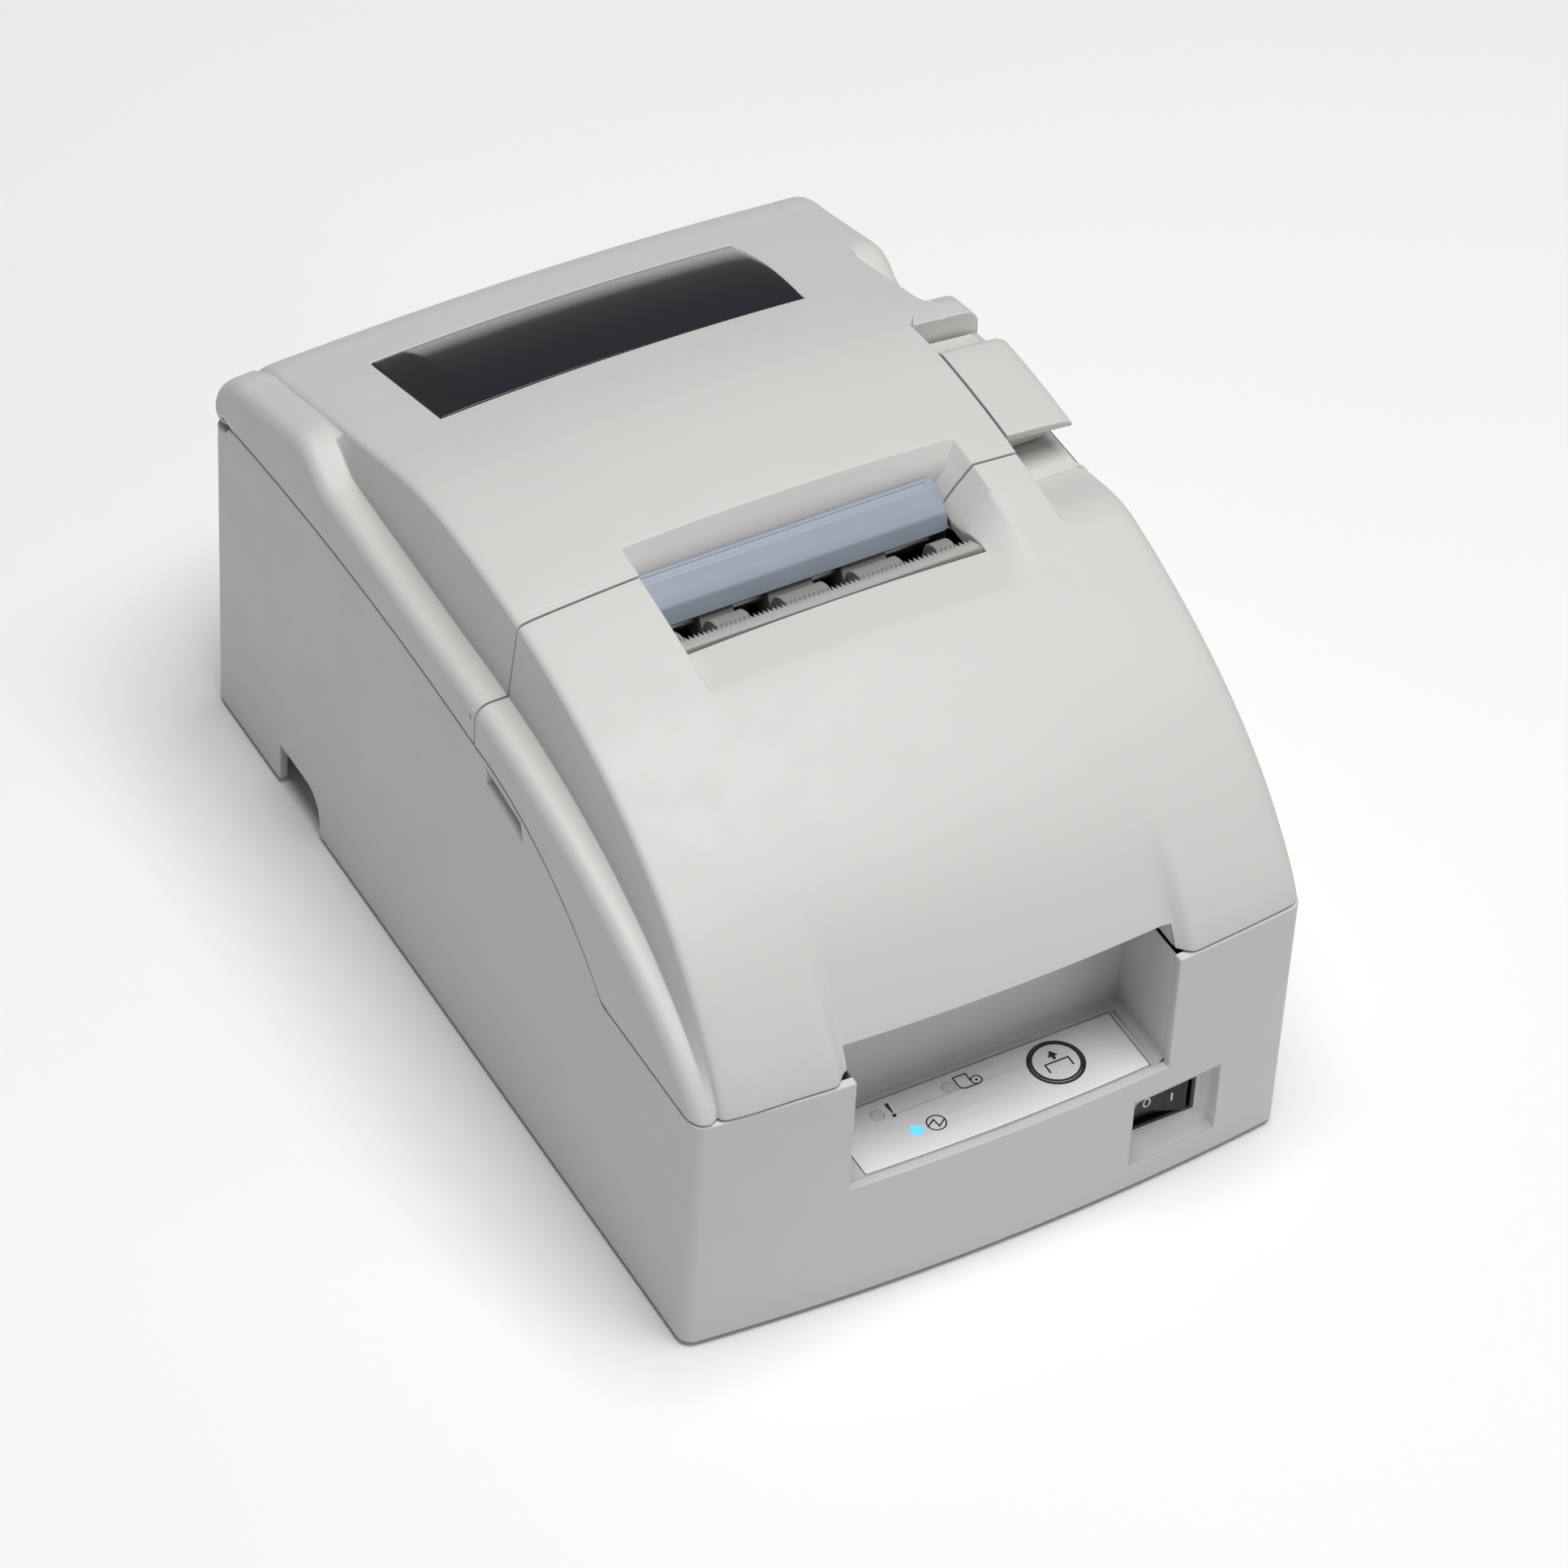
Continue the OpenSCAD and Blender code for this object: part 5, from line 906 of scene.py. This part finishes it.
PANEL_Z = 38.1
PANEL_IN0 = PANEL_X0 + 0.35
PANEL_IN1 = PANEL_X1 - 0.35
PANEL_BACK = FRONT_Y + 25.3
PANEL_R = 2  # rounding at the foot of the recess's side walls
PANEL_SILL = 2.4  # thickness of the front below the recess
SWITCH_X0, SWITCH_X1, SWITCH_Z0, SWITCH_Z1 = 36.2, 60.5, 9.4, 30.3
NOTCH_Y0, NOTCH_Y1, NOTCH_Z, NOTCH_R = 66.6, 88.1, 13.5, 7
GATE_X0, GATE_X1, GATE_Z = -57.5, HALF_W - 30, 19.5
HOLLOW_Y0, HOLLOW_Y1, HOLLOW_DEPTH = SPLIT_Y - 24, SPLIT_Y - 7, 1.9
HOLLOW_DROPS = (6.2, 5.4, 1.5)  # below the seam: its foot, its deepest line and its top
RELIEF_R = 5  # room round the rear cover's hinge
BAY_Y = REAR_Y - 64
BAY_X = HALF_W - 26
BAY_Z = 26
SOCKETS = [(-34, 14, 12), (-6, 13, 12), (24, 14, 13)]  # middle, width and height
SOCKET_Z = 8.6
SOCKET_GAP = 0.2
BAY_LEDGE_X, BAY_LEDGE_Y, BAY_LEDGE_T = 18 - SIDE_IN, 26, 3


def bow(x):
    return FRONT_Y + crown(x)


def case_outline():
    """The case's outer wall, counter-clockwise from the left end of its front."""
    arc_x = HALF_W - CORNER_R
    front_c = bow(arc_x) + CORNER_R
    rear_c = REAR_Y - CORNER_R
    xs = [*range(-72, -47, 8), PANEL_IN0, *range(-32, 25, 8), 30, SWITCH_X0, 40.5, PANEL_IN1, 50, 55,
          SWITCH_X1, 66, 72]
    ys = spread(front_c, seam_kink_y, 4) + spread(seam_kink_y, HOLLOW_Y0 - 0.3, 9)
    ys += [HOLLOW_Y0 - 0.3, HOLLOW_Y0 + 0.3, -30, -25, HOLLOW_Y1 - 0.3, HOLLOW_Y1 + 0.3]
    ys += spread(SPLIT_Y, NOTCH_Y0, 7) + [NOTCH_Y0, 67.4, 68.6, 70, 71.8, NOTCH_Y0 + NOTCH_R, 81, NOTCH_Y1]
    ys += [96, 104, 112, 115.4, 116, 117, 118.5]
    rear_xs = [72, 61, GATE_X1, 38, 25, 12, 0, -12, -25, -38, -48, GATE_X0, -65, -72]

    def corner(x, y, start):
        angles = [start + a for a in QUARTER]
        return [(x + CORNER_R * cos(a), y + CORNER_R * sin(a)) for a in angles]

    points = [(x, bow(x)) for x in xs] + corner(arc_x, front_c, -pi / 2)[1:] + [(HALF_W, y) for y in ys[1:]]
    points += corner(arc_x, rear_c, 0) + [(x, REAR_Y) for x in rear_xs] + corner(-arc_x, rear_c, pi / 2)
    points += [(-HALF_W, y) for y in reversed(ys[1:])] + corner(-arc_x, front_c, pi)[:-1]
    return points + points[:1]


def case_top(y):
    if y > PIVOT_Y:
        return PIVOT_Z - RELIEF_R
    room = RELIEF_R ** 2 - (PIVOT_Y - y) ** 2
    return min(seam_z(y), PIVOT_Z - sqrt(room)) if room > 0 else seam_z(y)


def case_column(x, y):
    """The wall's points at its twelve levels, from the rim to the seam."""
    top = case_top(y)
    low, deep, high = (top - drop for drop in HOLLOW_DROPS)
    levels = [RIM_Z, NOTCH_Z - NOTCH_R, SWITCH_Z0, NOTCH_Z, GATE_Z, SWITCH_Z1, PANEL_Z,
              mix(PANEL_Z, low, 0.5), low, deep, high, top]
    if x < 1 - HALF_W and NOTCH_Y0 < y < NOTCH_Y1:
        run = max(0, NOTCH_Y0 + NOTCH_R - y)
        arch = NOTCH_Z - NOTCH_R + sqrt(NOTCH_R ** 2 - run ** 2)
        levels = levels[:1] + [max(z, arch) for z in levels[1:]]
    column = [(x, y, z) for z in levels]
    if abs(x) == HALF_W and HOLLOW_Y0 < y < HOLLOW_Y1:
        column[levels.index(deep)] = (x - HOLLOW_DEPTH if x > 0 else x + HOLLOW_DEPTH, y, deep)
    return column


def make_case():
    skin = Skin()
    outline = case_outline()
    rows = list(zip(*[case_column(x, y) for x, y in outline]))

    def keep(i, j):
        """Leaves out the faces over the panel, the switch, the cable notch and the connector bay."""
        x = (outline[j][0] + outline[j + 1][0]) / 2
        y = (outline[j][1] + outline[j + 1][1]) / 2
        if y < FRONT_Y + 5:
            return not (
                (PANEL_IN0 < x < PANEL_IN1 and i >= 6) or (SWITCH_X0 < x < SWITCH_X1 and 2 <= i < 5)
            )
        if x < 1 - HALF_W and NOTCH_Y0 < y < NOTCH_Y1:
            return i >= (3 if y > NOTCH_Y0 + NOTCH_R else 1)
        return not (y > REAR_Y - 1 and GATE_X0 < x < GATE_X1 and i < 4)

    skin.grid(rows, keep)
    skin.piece("case_shell", "case", thick=WALL, edge=0.45, stands_for=["lower_case"])


def filled(skin, outline, holes, z):
    """An upward face at the height z, between an outline and its holes, from (x, y) points."""
    loops = [[Vector((x, y, 0)) for x, y in loop] for loop in [outline] + holes]
    flat = [p for loop in loops for p in loop]
    for ids in tessellate_polygon(loops):
        a, b, c = (flat[i] for i in ids)
        if (b - a).cross(c - a).z < 0:
            b, c = c, b
        skin.face(*((p.x, p.y, z) for p in (a, b, c)))


def slab(skin, outline, holes, z0, z1):
    """A plate between two heights, with upright walls; its outline and holes are counter-clockwise."""
    filled(skin, outline, holes, z1)
    for loop in [outline] + [hole[::-1] for hole in holes]:
        loop = loop + loop[:1]
        skin.grid([[(x, y, z) for x, y in loop] for z in (z0, z1)])


PLATE_X0 = PANEL_X0 + 6
PLATE_X1 = PANEL_X1 - 3.9
PLATE_Y1 = PANEL_BACK - 2.6
PLATE_TOP = PANEL_Z + 0.1
BUTTON_AT = (22.2, FRONT_Y + 14.4)
BUTTON_R = 6.2
BUTTON_GAP = 0.25
LAMP_R = 1.6
LAMP_GAP = 0.08
UNLIT_AT = [(-23.1, FRONT_Y + 18.6), (-4, FRONT_Y + 18.9)]
LIT_AT = (-17.4, FRONT_Y + 10.4)
WARNING_AT = (-19.6, FRONT_Y + 18.9)
POWER_AT = (-12.1, FRONT_Y + 10.4)
ROLL_AT = (0.6, FRONT_Y + 18.8)


def plate_outline(grow):
    """The control plate's outline; its front follows the bow of the case."""
    x0, x1 = PLATE_X0 - grow, PLATE_X1 + grow
    front = [(x, bow(x) + PANEL_SILL + 0.5 - grow) for x in stops(x0, x1, 12)]
    return front + [(x1, PLATE_Y1 + grow), (x0, PLATE_Y1 + grow)]


# height over the plate and way in from the rim, of a lamp's lens and of the button's cap
LENS = [(-5.1, 0), (-0.05, 0), (0, 0.12), (0.08, 0.64), (0.1, 1.4)]
CAP = [(-1.6, 0), (0.05, 0), (0.16, 0.06), (0.2, 0.2), (0.18, 3.2), (0.17, 5.7)]


def dome(skin, place, radius, profile, count):
    rings = [(PLATE_TOP + height, circle(*place, radius - way, count)) for height, way in profile]
    skin.solid([[(x, y, z) for x, y in ring] for z, ring in rings])


def make_panel():
    recess = Skin()
    x0, x1, r = PANEL_IN0, PANEL_IN1, PANEL_R
    ledge_y = PLATE_Y1 + 0.3
    front = [(x, bow(x) + PANEL_SILL) for x in stops(x0 + r, x1 - r, 12)]
    filled(recess, front + [(x1 - r, ledge_y), (x0 + r, ledge_y)], [plate_outline(0.28)], PANEL_Z)
    for side, wall_x in ((1, x0), (-1, x1)):
        path = [(wall_x + side * (r - r * sin(a)), PANEL_Z + r - r * cos(a)) for a in QUARTER]
        path += [(wall_x, z) for z in (48, 60, SEAM_FRONT_Z - 0.1)]
        rows = [
            [(x, mix(bow(x) + PANEL_SILL, PANEL_BACK, t), z) for x, z in path]
            for t in (0, 0.12, 0.4, 0.7, 1)
        ]
        recess.grid(rows if side < 0 else rows[::-1])
    ledge = ((0, 0), (0.25, 0.35), (1.2, 0.55), (1.7, 0.9), (2.1, 1.6))
    profile = [(ledge_y + dy, PANEL_Z + dz) for dy, dz in ledge]
    profile += [(PANEL_BACK, z) for z in (PANEL_Z + 2.8, 50, 62, 74, 86)]
    recess.grid([[(x, y, z) for x in stops(x0, x1, 10)] for y, z in profile])
    recess.piece("panel_recess", "case", thick=0.3)

    plate = Skin()
    holes = [circle(*BUTTON_AT, BUTTON_R + BUTTON_GAP)]
    holes += [circle(*p, LAMP_R + LAMP_GAP, 32) for p in UNLIT_AT + [LIT_AT]]
    slab(plate, plate_outline(0), holes, PANEL_Z - 1.1, PLATE_TOP)
    plate.piece("panel_plate", "case", "plate_silver", edge=0.12, stands_for=["control_plate"])

    for name, places, material in (
        ("unlit_lamps", UNLIT_AT, "light_lens"), ("lit_lamp", [LIT_AT], "lit_blue")
    ):
        lens = Skin()
        for place in places:
            dome(lens, place, LAMP_R, LENS, 32)
        lens.piece(name, "case", "light_lens", material, stands_for=["indicator_lights"])

    cap = Skin()
    dome(cap, BUTTON_AT, BUTTON_R, CAP, 72)
    cap.piece("button_cap", "button", "button_grey", stands_for=["feed_button"])


# ---- printed marks


def ribbon(skin, path, width, place, closed=False):
    """A flat line of an even width along a path of (u, v) points; place puts (u, v) on the surface."""
    loop = path + path[:1] if closed else path
    ways = []
    for p, q in zip(loop, loop[1:]):
        ways.append(((q[0] - p[0]) / dist(p, q), (q[1] - p[1]) / dist(p, q)))
    arrive = (ways[-1:] if closed else ways[:1]) + ways
    leave = ways if closed else ways + ways[-1:]
    pairs = []
    for (x, y), before, after in zip(path, arrive, leave):
        u, v = before[0] + after[0], before[1] + after[1]
        size = hypot(u, v)
        half = width / 2 / max(0.5, (u * before[0] + v * before[1]) / size)
        u, v = u / size * half, v / size * half
        pairs.append(((x + v, y - u), (x - v, y + u)))
    if closed:
        pairs.append(pairs[0])
    for (a, b), (c, d) in zip(pairs, pairs[1:]):
        skin.face(place(*a), place(*c), place(*d), place(*b))


def blot(skin, outline, place):
    skin.face(*(place(u, v) for u, v in outline))


def on_plate(x, y, height=0.03):
    return lambda u, v: (x + u, y + v, PLATE_TOP + height)


def make_marks():
    marks = Skin()
    ribbon(marks, circle(0, 0, BUTTON_R + 0.5, 72), 0.56, on_plate(*BUTTON_AT), True)
    warning = on_plate(*WARNING_AT)
    stroke = [(-0.2, -1.3), (0.2, -1.3), (0.46, 1.5), (0.25, 1.95), (-0.25, 1.95), (-0.46, 1.5)]
    blot(marks, stroke, warning)
    blot(marks, circle(0, -2.2, 0.52, 20), warning)
    power = on_plate(*POWER_AT)
    ribbon(marks, circle(0, 0, 2.3, 48), 0.36, power, True)
    ribbon(marks, [(-2.1, -0.1), (-0.15, 1.15), (0.1, -1.25), (2.15, 0.15)], 0.38, power)
    roll = on_plate(*ROLL_AT)
    ribbon(marks, circle(2.35, -0.75, 1.3, 36), 0.36, roll, True)
    blot(marks, circle(2.35, -0.75, 0.36, 16), roll)
    web = [(2.3, -2.05), (-1.2, -2.05), (-2.1, -1.6), (-2.4, -0.8), (-2.4, 2.1), (0.95, 2.1), (0.95, -0.4)]
    ribbon(marks, web, 0.36, roll)
    marks.piece("panel_marks", "case", "black_plastic", "print_ink")

    press = Skin()
    on_cap = on_plate(*BUTTON_AT, 0.24)
    ribbon(press, circle(0, 0, BUTTON_R - 0.3, 72), 0.6, on_cap, True)
    ribbon(press, [(-2.9, -2.5), (-2.9, 0.2), (3.3, 0.2), (3.3, -2.5)], 0.42, on_cap)
    blot(press, [(0.25, 3.8), (-1.1, 1.9), (1.6, 1.9)], on_cap)
    blot(press, [(-0.15, 0.9), (0.65, 0.9), (0.65, 2), (-0.15, 2)], on_cap)
    press.piece("button_marks", "button", "black_plastic", "print_ink")


# ---- power switch

SWITCH_BACK = FRONT_Y + 6
ROCKER_X0 = SWITCH_X0 + 0.4
ROCKER_W = 19.6
ROCKER_H = 14.2
ROCKER_Z0 = SWITCH_Z1 - ROCKER_H - 0.9
ROCKER_TURN = radians(-8)
ROCKER_REACH = ROCKER_W / 2 - 2.3
ROCKER_END = 4.6  # how far its ends stand out from its axis
ROCKER_DIP = 1.4  # how far its middle lies below its ends
RECESS_X1 = 57.7
RECESS_Z = ROCKER_Z0 - 1
RECESS_GAP = 0.15
PIN_W, PIN_H = 0.8, 6


def recess_ring(x1, z0, depth=None):
    """The switch recess's outline at a depth behind the front, or at its back."""
    x0, z1 = SWITCH_X0, SWITCH_Z1
    around = [(x0, z0), (x0, mix(z0, z1, 0.5)), (x0, z1 - 1.6), (x0 + 0.5, z1 - 0.5)]
    around += [(x, z1) for x in stops(x0 + 1.6, x1, 4)]
    around += [(x1, z) for z in stops(z1, z0, 3)[1:]]
    around += [(x, z0) for x in stops(x1, x0, 4)[1:]]
    return [(x, SWITCH_BACK if depth is None else bow(x) + depth, z) for x, z in around[::-1]]


def rocker_face(u):
    """Where the rocker's face lies before its axis, at u from its middle."""
    return ROCKER_DIP * sin(pi / 2 * (1 - min(1, abs(u) / ROCKER_REACH))) - ROCKER_END


def make_switch():
    x0, x1, z0, z1 = ROCKER_X0, ROCKER_X0 + ROCKER_W, ROCKER_Z0, ROCKER_Z0 + ROCKER_H
    y, mid_x, mid_z = SWITCH_BACK, (x0 + x1) / 2, (z0 + z1) / 2
    recess = Skin()
    recess.grid([
        recess_ring(SWITCH_X1, SWITCH_Z0, 0.05), recess_ring(SWITCH_X1 - 0.4, SWITCH_Z0 + 1.2, 1.9),
        recess_ring(SWITCH_X1 - 1.2, SWITCH_Z0 + 2.4, 2.7), recess_ring(RECESS_X1, RECESS_Z)
    ])
    a, b, c, d = x0 - RECESS_GAP, x1 + RECESS_GAP, z0 - RECESS_GAP, z1 + RECESS_GAP
    for left, low, right, high in (
        (SWITCH_X0, RECESS_Z, RECESS_X1, c), (SWITCH_X0, d, RECESS_X1, SWITCH_Z1),
        (SWITCH_X0, c, a, d), (b, c, RECESS_X1, d)
    ):
        recess.grid([[(left, y, z), (right, y, z)] for z in (low, high)])
    recess.piece("switch_recess", "case", thick=0.4)

    housing = Skin()
    steps = [(0, 14), (0, -0.3), (0.25, -0.55), (1.0, -0.55), (1.3, -0.2), (1.3, 9)]
    housing.grid([
        [(m, y + v, n) for m, n in (
            (x0 + g, z0 + g), (x1 - g, z0 + g), (x1 - g, z1 - g), (x0 + g, z1 - g), (x0 + g, z0 + g)
        )] for g, v in steps
    ])
    for x in (mid_x - 6, mid_x, mid_x + 6):
        housing.block((x - PIN_W / 2, y + 14, mid_z - PIN_H / 2), (x + PIN_W / 2, y + 22, mid_z + PIN_H / 2))
    housing.block((x0 + 0.2, y + 13, z0 + 0.2), (x1 - 0.2, y + 16, z1 - 0.2))
    housing.piece("switch_frame", "case", "black_plastic", edge=0.15, stands_for=["power_switch"])

    def turned(u, v, z):
        across = u * cos(ROCKER_TURN) - v * sin(ROCKER_TURN)
        return mid_x + across, y + 4 + u * sin(ROCKER_TURN) + v * cos(ROCKER_TURN), z

    def on_rocker(u, v):
        return turned(u, rocker_face(u) - 0.06, v)

    rocker = Skin()
    outline = [(u, rocker_face(u)) for u in stops(-ROCKER_REACH, ROCKER_REACH, 12)]
    outline += [(ROCKER_REACH - 1, 0), (0, 3), (1 - ROCKER_REACH, 0)]
    rocker.solid([[turned(u, v, z) for u, v in outline] for z in (z0 + 1.5, mid_z, z1 - 1.5)])
    rocker.piece("rocker_cap", "rocker", "black_plastic", edge=EDGE, stands_for=["power_rocker"])

    marks = Skin()
    oval = [(-2.2 + 0.85 * u, 21.4 + 1.35 * v) for u, v in circle(0, 0, 1, 32)]
    ribbon(marks, oval, 0.38, on_rocker, True)
    ribbon(marks, [(4, 20.4), (4, 23)], 0.45, on_rocker)
    marks.piece("rocker_marks", "rocker", "black_plastic", "mark_white")


# ---- connector bay


def make_connector_bay():
    bay = Skin()
    inner, back, under = SIDE_IN + 0.05, REAR_Y - WALL, BAY_Z - WALL

    def wall(x0, x1, z0, z1):
        bay.block((x0, BAY_Y - WALL, z0), (x1, BAY_Y, z1))

    bay.block((-inner, BAY_Y - WALL, under), (inner, back + 0.05, BAY_Z))
    edge = -inner
    for middle, width, height in SOCKETS:
        x0, x1 = (middle + side * (width / 2 + SOCKET_GAP) for side in (-1, 1))
        wall(edge, x0, RIM_Z, under)
        wall(x0, x1, RIM_Z, SOCKET_Z - SOCKET_GAP)
        wall(x0, x1, SOCKET_Z + height + SOCKET_GAP, under)
        edge = x1
    wall(edge, inner, RIM_Z, under)
    bay.block((BAY_X, BAY_Y, RIM_Z), (BAY_X + WALL, back, under))
    for x0, x1 in ((BAY_X + WALL, inner), (-inner, BAY_LEDGE_X)):
        bay.block((x0, back - BAY_LEDGE_Y, RIM_Z), (x1, back, RIM_Z + BAY_LEDGE_T))
    bay.piece("bay_walls", "case")


# ---- lever and window

LEVER_LIP_Y = SPLIT_Y + 5.2
LEVER_REAR = LEVER_BACK - 0.9
LEVER_BOTTOM = LEVER_FLOOR + 0.4
LEVER_X = LEVER_X0 + 0.4
LEVER_FALL = 6  # how far its top sinks towards the pocket's rear
CAP_T = 2.2


def lever_top(x, y):
    return surface_z(x, y) - LEVER_FALL * smooth(LEVER_REAR - 12, LEVER_REAR - 4, y)


def make_lever():
    """A cap that follows the cover's surface, over a body that fills the pocket below it."""
    skin = Skin()
    ys = [LEVER_LIP_Y, -5.5, -3, *range(0, 21, 4), 23.6, 25.2, 26.8, 28.4, 30, 31.6, LEVER_REAR]
    cap = []
    for x, drop in (
        (LEVER_X, 0), (64, 0), (67, 0), (70, 0), (73, 0), (76.2, 0), (77.8, 0.15), (78.9, 0.45),
        (79.6, 0.9), (79.9, 1.5)
    ):
        under = [(x, y, lever_top(x, y) - CAP_T) for y in ys]
        cap.append(under + [(x, y, lever_top(x, y) - drop) for y in ys[::-1]])
    skin.solid(cap)
    body = []
    for x, front, foot, drop in (
        (LEVER_X + 0.15, -5.4, 0.4, 0), (70, -5.4, 0.4, 0), (75.8, -5.4, 0.4, 0), (77.6, -5, 2.5, 0),
        (78.4, 3, 5, 1.4), (79.6, 4.5, 6, 1.4)
    ):
        ring = [(x, foot, LEVER_BOTTOM), (x, LEVER_BACK - 5.5, LEVER_BOTTOM)]
        ring.append((x, LEVER_REAR - 0.2, LEVER_BOTTOM + 2))
        ring += [(x, y, lever_top(x, y) - 1.6 - drop) for y in ys[:-11:-1]]
        ring.append((x, front, lever_top(x, front) - 1.8 - drop))
        body.append(ring)
    skin.solid(body)
    skin.piece(
        "lever_shell", "lever", edge=0.4,
        spared=lambda x, y, z: x > 77 and y > LEVER_BACK - 6, stands_for=["open_lever"]
    )


WINDOW_BULGE = 3.2
WINDOW_T = 2


def window_bulge(y):
    return WINDOW_BULGE * (1 - (2 * ramp(WINDOW_Y0, WINDOW_Y1, y) - 1) ** 2)


def make_window():
    skin = Skin()
    rings = []
    for x, part in (
        (WINDOW_X0, 0), (-49.4, 0.05), (-42.3, 0.92), (-41, 1), (-30, 1), (-15, 1), (0, 1), (15, 1),
        (30, 1), (40, 1), (44.5, 0.97), (46.2, 0.88), (WINDOW_X1, 0.7)
    ):
        top = [(x, y, surface_z(x, y) + part * window_bulge(y)) for y in stops(WINDOW_Y0, WINDOW_Y1, 24)]
        rings.append([(x, y, z - WINDOW_T) for x, y, z in top] + top[::-1])
    skin.solid(rings)
    skin.piece("window_pane", "rear_lid", "smoked_window", edge=0.3, stands_for=["window"])


# ---- paper exit

GUIDE_X0 = SLOT_X0 + 0.6
GUIDE_X1 = SLOT_X1 - 0.2
FEED_AXIS = (SPLIT_Y - 12.5, HEIGHT - 20)
FEED_R = 6
PINCH_R = 4.5
PINCH_AXIS = (FEED_AXIS[0] + FEED_R + PINCH_R + 0.5, FEED_AXIS[1] - 1)
PAPER_X = 1.8
SLEEVES = [(-36.8, 4), (-22, 9), (-2.6, 12), (16.8, 12), (34, 5)]  # middle from the paper's, and width


def make_guide():
    """The blue-grey strip; a shallow band along its top ends short of its rounded right end."""
    skin = Skin()
    y, z = SLOT_REAR_Y, HEIGHT
    rings = []
    for x, dip, end in (
        (GUIDE_X0, 0.45, 0), (38.2, 0.45, 0), (38.6, 0, 0), (40, 0, 0.1), (40.9, 0, 0.5), (GUIDE_X1, 0, 1.2)
    ):
        rings.append([(x, y - a, z - b) for a, b in (
            (12.6, 16.4), (5.6, 13.4), (3.1, 13.2), (3.1, 9), (3.5, 7.4 + end), (4, 7.1 + end),
            (4.6, 7.2 + end), (4.7, 7.2 + dip + end), (6.1, 7.6 + dip + end), (6.2, 7.6 + end),
            (6.8, 7.9 + end), (7.2, 8.3 + end), (9.4, 9.9 + end), (11.4 - end * 0.3, 11.4 + end),
            (11.9 - end * 0.3, 12.2 + end), (13.1 - end, 16.4)
        )])
    skin.solid(rings)
    skin.piece("guide_strip", "rear_lid", "guide_plastic", edge=0.18, limit=35, stands_for=["guide_bar"])


def lathe(skin, x0, x1, radius, axis, soft=0.3, count=56):
    stations = [(x0, radius - soft), (x0 + soft, radius), (x1 - soft, radius), (x1, radius - soft)]
    skin.solid([[(x, y, z) for y, z in circle(*axis, r, count)] for x, r in stations])


def make_rollers():
    for name, node, box, axis, radius, shaft, used in (
        ("feed", "feed_roller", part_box("feed_roller"), FEED_AXIS, FEED_R, 2.5, SLEEVES),
        ("pinch", "pinch_rollers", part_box("pinch_rollers"), PINCH_AXIS, PINCH_R, 1.5, SLEEVES[1:4])
    ):
        sleeves = Skin()
        for middle, width in used:
            lathe(sleeves, PAPER_X + middle - width / 2, PAPER_X + middle + width / 2, radius, axis)
        sleeves.piece(name + "_sleeves", name + "_drum", "roller_rubber", stands_for=[node])
        rod = Skin()
        x0, x1 = (corner[0] for corner in in_mm(box))
        lathe(rod, x0, x1, shaft, axis, 0.25, 32)
        rod.piece(name + "_shaft", name + "_drum", "sheet_steel")


TOOTH_PITCH = 1.2
TOOTH_GAP = 0.06
TOOTH_BASE = 4.15  # from the bar's front to the teeth's roots
TOOTH_TIP = 6.3
TEAR_Y = SLOT_FRONT_Y + 0.6
TEAR_Z = HEIGHT - 10.4
CARRIER_INSET = 1.6


def make_tear_bar():
    """A slanted strip behind the exit's front edge, with teeth that point back over the feed sleeves."""
    skin = Skin()
    x0, x1 = SLOT_X0 + 0.9, SLOT_X1 - 0.5
    profile = [
        (0, -14), (0.8, -14), (0.8, -1.2), (4.2, -1.7), (4.2, -1.1), (1.5, -0.1), (1.3, -0.6), (0.9, -0.5),
        (0.75, 0.2), (-0.05, 0.5)
    ]
    skin.solid([[(x, TEAR_Y + a, TEAR_Z + b) for a, b in profile] for x in (x0, x1)])
    frame_lo, frame_hi = in_mm(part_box("side_frames"))
    skin.block(
        (frame_lo[0] + CARRIER_INSET, TEAR_Y - 12, TEAR_Z - 14),
        (frame_hi[0] - CARRIER_INSET, TEAR_Y, TEAR_Z - 12.8)
    )
    edges = stops(x0, x1, int((x1 - x0) / TOOTH_PITCH))
    for a, b in zip(edges, edges[1:]):
        tip = ((a + b) / 2, TEAR_Y + TOOTH_TIP, TEAR_Z - 1.6)
        left, right = a + TOOTH_GAP, b - TOOTH_GAP
        root = [(left, 1.65), (left, 1.1), (right, 1.1), (right, 1.65)]
        root = [(x, TEAR_Y + TOOTH_BASE, TEAR_Z - z) for x, z in root]
        for p, q in zip(root, root[1:] + root[:1]):
            skin.face(p, q, tip)
    skin.piece("tear_strip", "case", "sheet_steel", "tear_steel", stands_for=["tear_bar"])


make_case()
make_panel()
make_marks()
make_switch()
make_connector_bay()
make_front_cover()
make_rear_cover()
make_lever()
make_window()
make_guide()
make_rollers()
make_tear_bar()
dress_nodes()
lay_floor()
light_scene()
place_camera()
